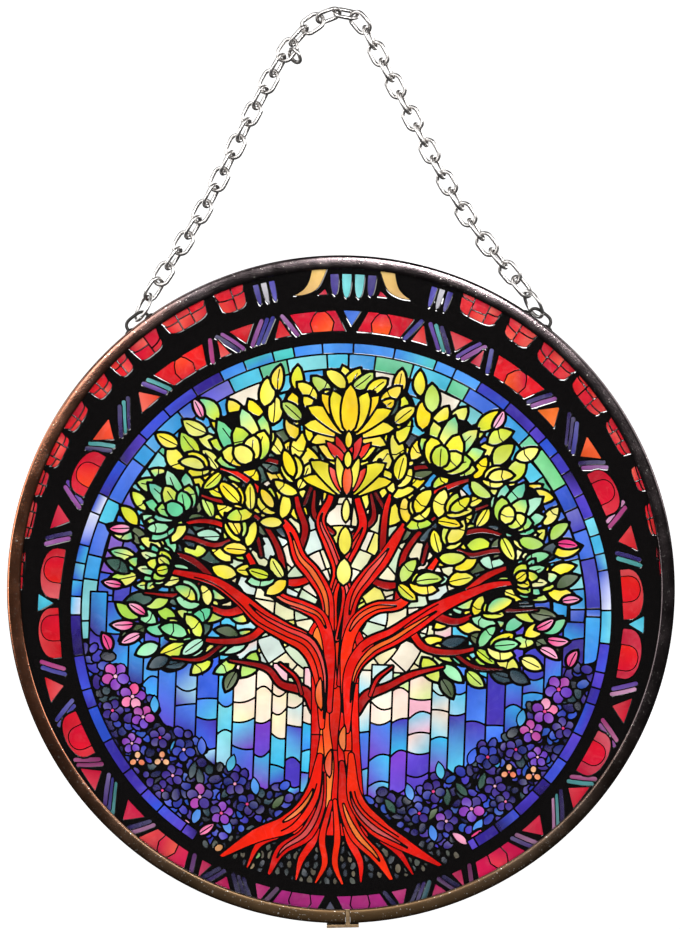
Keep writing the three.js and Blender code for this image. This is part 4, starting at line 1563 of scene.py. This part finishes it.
class SUNCATCHER_OT_loops(bpy.types.Operator):
    """Bend the two black wire loops and solder them to the rim"""
    bl_idname = "suncatcher.loops"
    bl_label = "Hanging loops"

    def execute(self, context):
        settings = context.scene.suncatcher_chain
        finish = black_wire_finish()
        for side in ("left", "right"):
            self.make_loop(side, settings, finish)
        return {"FINISHED"}

    def make_loop(self, side, settings, finish):
        """One squarish loop of wire, with a drop of solder at each foot."""
        node_name = "hanging_loop_" + side
        points = np.array([v.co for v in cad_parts[node_name].data.vertices]) - np.array(CENTRE)
        middle = points.mean(0)
        angle = math.atan2(middle[0], middle[2])
        outward = np.array((math.sin(angle), 0, math.cos(angle)))
        sideways = np.array((math.cos(angle), 0, -math.sin(angle)))
        length = (points @ sideways).max() - (points @ sideways).min()
        height = (points @ outward).max() - RIM_RADIUS
        wire = settings.loop_wire
        steps, sunk = 24, 0.2 * MM
        reach = (length - wire) / 2
        rise = height - wire / 2 + sunk
        bm = bmesh.new()
        bmesh.ops.create_circle(bm, cap_ends=False, segments=settings.facets, radius=wire / 2,
                                matrix=Matrix.Translation((reach, 0, -sunk)))
        section = bm.edges[:]
        for i in range(steps):
            first, second = (math.pi * (i + k) / steps for k in (0, 1))
            here = self.bend(first, reach, rise)
            there = self.bend(second, reach, rise)
            turn_now = self.lean(first, reach, rise)
            turn_next = self.lean(second, reach, rise)
            made = bmesh.ops.extrude_edge_only(bm, edges=section)["geom"]
            verts = [v for v in made if isinstance(v, bmesh.types.BMVert)]
            edges = [e for e in made if isinstance(e, bmesh.types.BMEdge)]
            section = [e for e in edges if all(v in verts for v in e.verts)]
            origin = Vector((here[0], 0, here[1] - sunk))
            turn = Matrix.Rotation(turn_next - turn_now, 3, "Y")
            bmesh.ops.rotate(bm, verts=verts, cent=origin, matrix=turn)
            bmesh.ops.translate(bm, verts=verts, vec=(there[0] - here[0], 0, there[1] - here[1]))
        close_ends(bm)
        for foot in (-1, 1):
            blob = bmesh.ops.create_uvsphere(bm, u_segments=20, v_segments=12, radius=0.9 * MM)["verts"]
            bmesh.ops.scale(bm, verts=blob, vec=(1.25, 1.0, 0.55))
            bmesh.ops.translate(bm, verts=blob, vec=(foot * reach, 0, -0.05 * MM))
        outwards = Matrix.Translation((0, 0, RIM_RADIUS))
        place = Matrix.Translation(CENTRE) @ Matrix.Rotation(angle, 4, "Y") @ outwards
        bmesh.ops.transform(bm, verts=bm.verts, matrix=place)
        piece_from("wire_loop_" + side, bm, (finish,), node_name)

    def bend(self, swing, reach, rise):
        """Where the loop's wire is, from 0 at one foot to pi at the other."""
        squareness = 0.6
        across = math.copysign(abs(math.cos(swing)) ** squareness, math.cos(swing)) * reach
        return across, rise * math.sin(swing) ** squareness

    def lean(self, swing, reach, rise):
        """The wire's turn from upright at that place."""
        step = 0.01
        x0, z0 = self.bend(max(swing - step, 0), reach, rise)
        x1, z1 = self.bend(min(swing + step, math.pi - 1e-9), reach, rise)
        return math.atan2(x1 - x0, z1 - z0)


class SUNCATCHER_OT_chain(bpy.types.Operator):
    """Make the chain's links, its two jump rings and the spare ring"""
    bl_idname = "suncatcher.chain"
    bl_label = "Chain"

    def execute(self, context):
        settings = context.scene.suncatcher_chain
        finish = nickel_finish()
        for node_name in sorted(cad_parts):
            if node_name.startswith("chain_link_"):
                self.make_link(node_name, settings, finish)
            elif node_name.startswith("jump_ring_"):
                self.make_ring(node_name, settings.ring_wire, settings, finish)
            elif node_name == "chain_tail_ring":
                self.make_ring(node_name, settings.link_wire, settings, finish)
        return {"FINISHED"}

    def make_link(self, node_name, settings, finish):
        """A ring of wire pulled out into an oval link, in its solid's place."""
        place, size = node_axes(node_name)
        wire = settings.link_wire - settings.snug
        width = settings.link_width - settings.snug
        bm = ring_of_wire(wire, (width - wire) / 2, 32, settings.facets)
        pull = (size[0] - settings.snug - width) / 2
        for vert in bm.verts:
            if abs(vert.co.x) > 1e-7:
                vert.co.x += math.copysign(pull, vert.co.x)
        bmesh.ops.transform(bm, verts=bm.verts, matrix=place)
        piece_from(node_name.replace("chain_", "bright_"), bm, (finish,), node_name)

    def make_ring(self, node_name, wire, settings, finish):
        """A round ring of wire, with the fine gap where its ends meet."""
        place, size = node_axes(node_name)
        whole, gap = 2 * math.pi, 0.05
        wire -= settings.snug
        bm = ring_of_wire(wire, (size[0] - settings.snug - wire) / 2, 48, settings.facets, whole - gap)
        bmesh.ops.transform(bm, verts=bm.verts, matrix=place)
        piece_from("bright_" + node_name, bm, (finish,), node_name)


# the stage, in metres: the floor's height and half its width, the screen's distance behind the panel and
# half its width, and the round wall's radius and height; the screen and the wall glow
FLOOR_HEIGHT, FLOOR_REACH = -0.37, 1.1
SCREEN_DISTANCE, SCREEN_REACH = 2.0, 2.6
WALL_RADIUS, WALL_HEIGHT = 3.6, 8
GLOW = 0.9
# each light's name, place, size and power, in metres and watts; all of them face the panel's centre
LIGHTS = (
    ("key_light", (0.078, -0.80, 0.11), 0.13, 3.2),
    ("glow_light", (-0.19, -0.80, 0.065), 0.14, 0.8),
    ("side_light", (0.66, -0.55, 0.25), 0.5, 4.8),
    ("fill_light", (-0.75, -0.65, 0.05), 0.6, 5.4),
    ("top_light", (-0.42, -0.45, 0.62), 0.5, 3.0),
    ("rear_left_light", (-0.70, 0.55, 0.10), 0.5, 3.4),
    ("rear_right_light", (0.70, 0.55, 0.20), 0.5, 3.4),
)


class SUNCATCHER_OT_stage(bpy.types.Operator):
    """Set out the pale floor, screen and wall, the soft lights and the camera"""
    bl_idname = "suncatcher.stage"
    bl_label = "Stage"

    def execute(self, context):
        settings = context.scene.suncatcher_stage
        self.make_surfaces()
        self.make_lights()
        self.make_camera(settings)
        scene = context.scene
        scene.view_settings.view_transform = "Standard"
        scene.world = bpy.data.worlds.new("soft_room")
        scene.world.use_nodes = True
        room = scene.world.node_tree.nodes["Background"]
        room.inputs["Color"].default_value = (0.55, 0.55, 0.56, 1)
        room.inputs["Strength"].default_value = 0.11
        return {"FINISHED"}

    def make_surfaces(self):
        """The floor, the screen and the wall; the wall is only seen, and neither shades nor bounces light."""
        floor = bmesh.new()
        lowered = Matrix.Translation((0, 0, FLOOR_HEIGHT))
        bmesh.ops.create_grid(floor, x_segments=1, y_segments=1, size=FLOOR_REACH, matrix=lowered)
        screen = bmesh.new()
        upright = Matrix.Translation((0, SCREEN_DISTANCE, 0)) @ Matrix.Rotation(math.pi / 2, 4, "X")
        bmesh.ops.create_grid(screen, x_segments=1, y_segments=1, size=SCREEN_REACH, matrix=upright)
        wall = bmesh.new()
        bmesh.ops.create_cone(wall, cap_ends=True, segments=48, radius1=WALL_RADIUS, radius2=WALL_RADIUS,
                              depth=WALL_HEIGHT)
        for name, bm, glow, in_light in (("pale_floor", floor, 0, True), ("light_screen", screen, GLOW, True),
                                         ("pale_wall", wall, GLOW, False)):
            mesh = bpy.data.meshes.new(name)
            bm.to_mesh(mesh)
            bm.free()
            mesh.materials.append(pale_finish(name, glow))
            made = add_object(name, mesh)
            made.visible_glossy = False
            made.visible_diffuse = in_light
            made.visible_shadow = in_light

    def make_lights(self):
        """The soft square lights."""
        for name, place, size, power in LIGHTS:
            light = bpy.data.lights.new(name, "AREA")
            light.size = size
            light.energy = power
            lamp = add_object(name, light)
            lamp.location = place
            lamp.rotation_euler = (CENTRE - Vector(place)).to_track_quat("-Z", "Y").to_euler()

    def make_camera(self, settings):
        """A long lens straight in front, far enough off to take in the height."""
        data = bpy.data.cameras.new("camera")
        data.lens = settings.lens
        data.sensor_width = 36
        camera = add_object("camera", data)
        distance = settings.view_height * settings.lens / data.sensor_width
        aim = Vector(settings.aim)
        camera.location = aim + Vector((0, -distance + RIM_LOW.y, 0))
        camera.rotation_euler = (math.pi / 2, 0, 0)
        bpy.context.scene.camera = camera


class SUNCATCHER_PT_sidebar(bpy.types.Panel):
    """The suncatcher's settings and pieces"""
    bl_idname = "SUNCATCHER_PT_sidebar"
    bl_label = "Suncatcher"
    bl_space_type = "VIEW_3D"
    bl_region_type = "UI"
    bl_category = "Suncatcher"

    def draw(self, context):
        layout = self.layout
        for group in SETTINGS:
            settings = getattr(context.scene, group)
            box = layout.box()
            for name in settings.__annotations__:
                box.prop(settings, name)
        for operator in OPERATORS:
            layout.operator(operator.bl_idname)


SETTINGS = {
    "suncatcher_panel": SuncatcherPanelSettings,
    "suncatcher_rim": SuncatcherRimSettings,
    "suncatcher_chain": SuncatcherChainSettings,
    "suncatcher_stage": SuncatcherStageSettings,
}
OPERATORS = (SUNCATCHER_OT_picture, SUNCATCHER_OT_rim, SUNCATCHER_OT_loops, SUNCATCHER_OT_chain,
             SUNCATCHER_OT_stage)


def register():
    for group in SETTINGS.values():
        bpy.utils.register_class(group)
    for name, group in SETTINGS.items():
        setattr(bpy.types.Scene, name, PointerProperty(type=group))
    for operator in OPERATORS:
        bpy.utils.register_class(operator)
    bpy.utils.register_class(SUNCATCHER_PT_sidebar)


def unregister():
    bpy.utils.unregister_class(SUNCATCHER_PT_sidebar)
    for operator in reversed(OPERATORS):
        bpy.utils.unregister_class(operator)
    for name in SETTINGS:
        delattr(bpy.types.Scene, name)
    for group in reversed(SETTINGS.values()):
        bpy.utils.unregister_class(group)


def main():
    register()
    bpy.ops.suncatcher.picture()
    bpy.ops.suncatcher.rim()
    bpy.ops.suncatcher.loops()
    bpy.ops.suncatcher.chain()
    bpy.ops.suncatcher.stage()


if __name__ == "__main__":
    main()
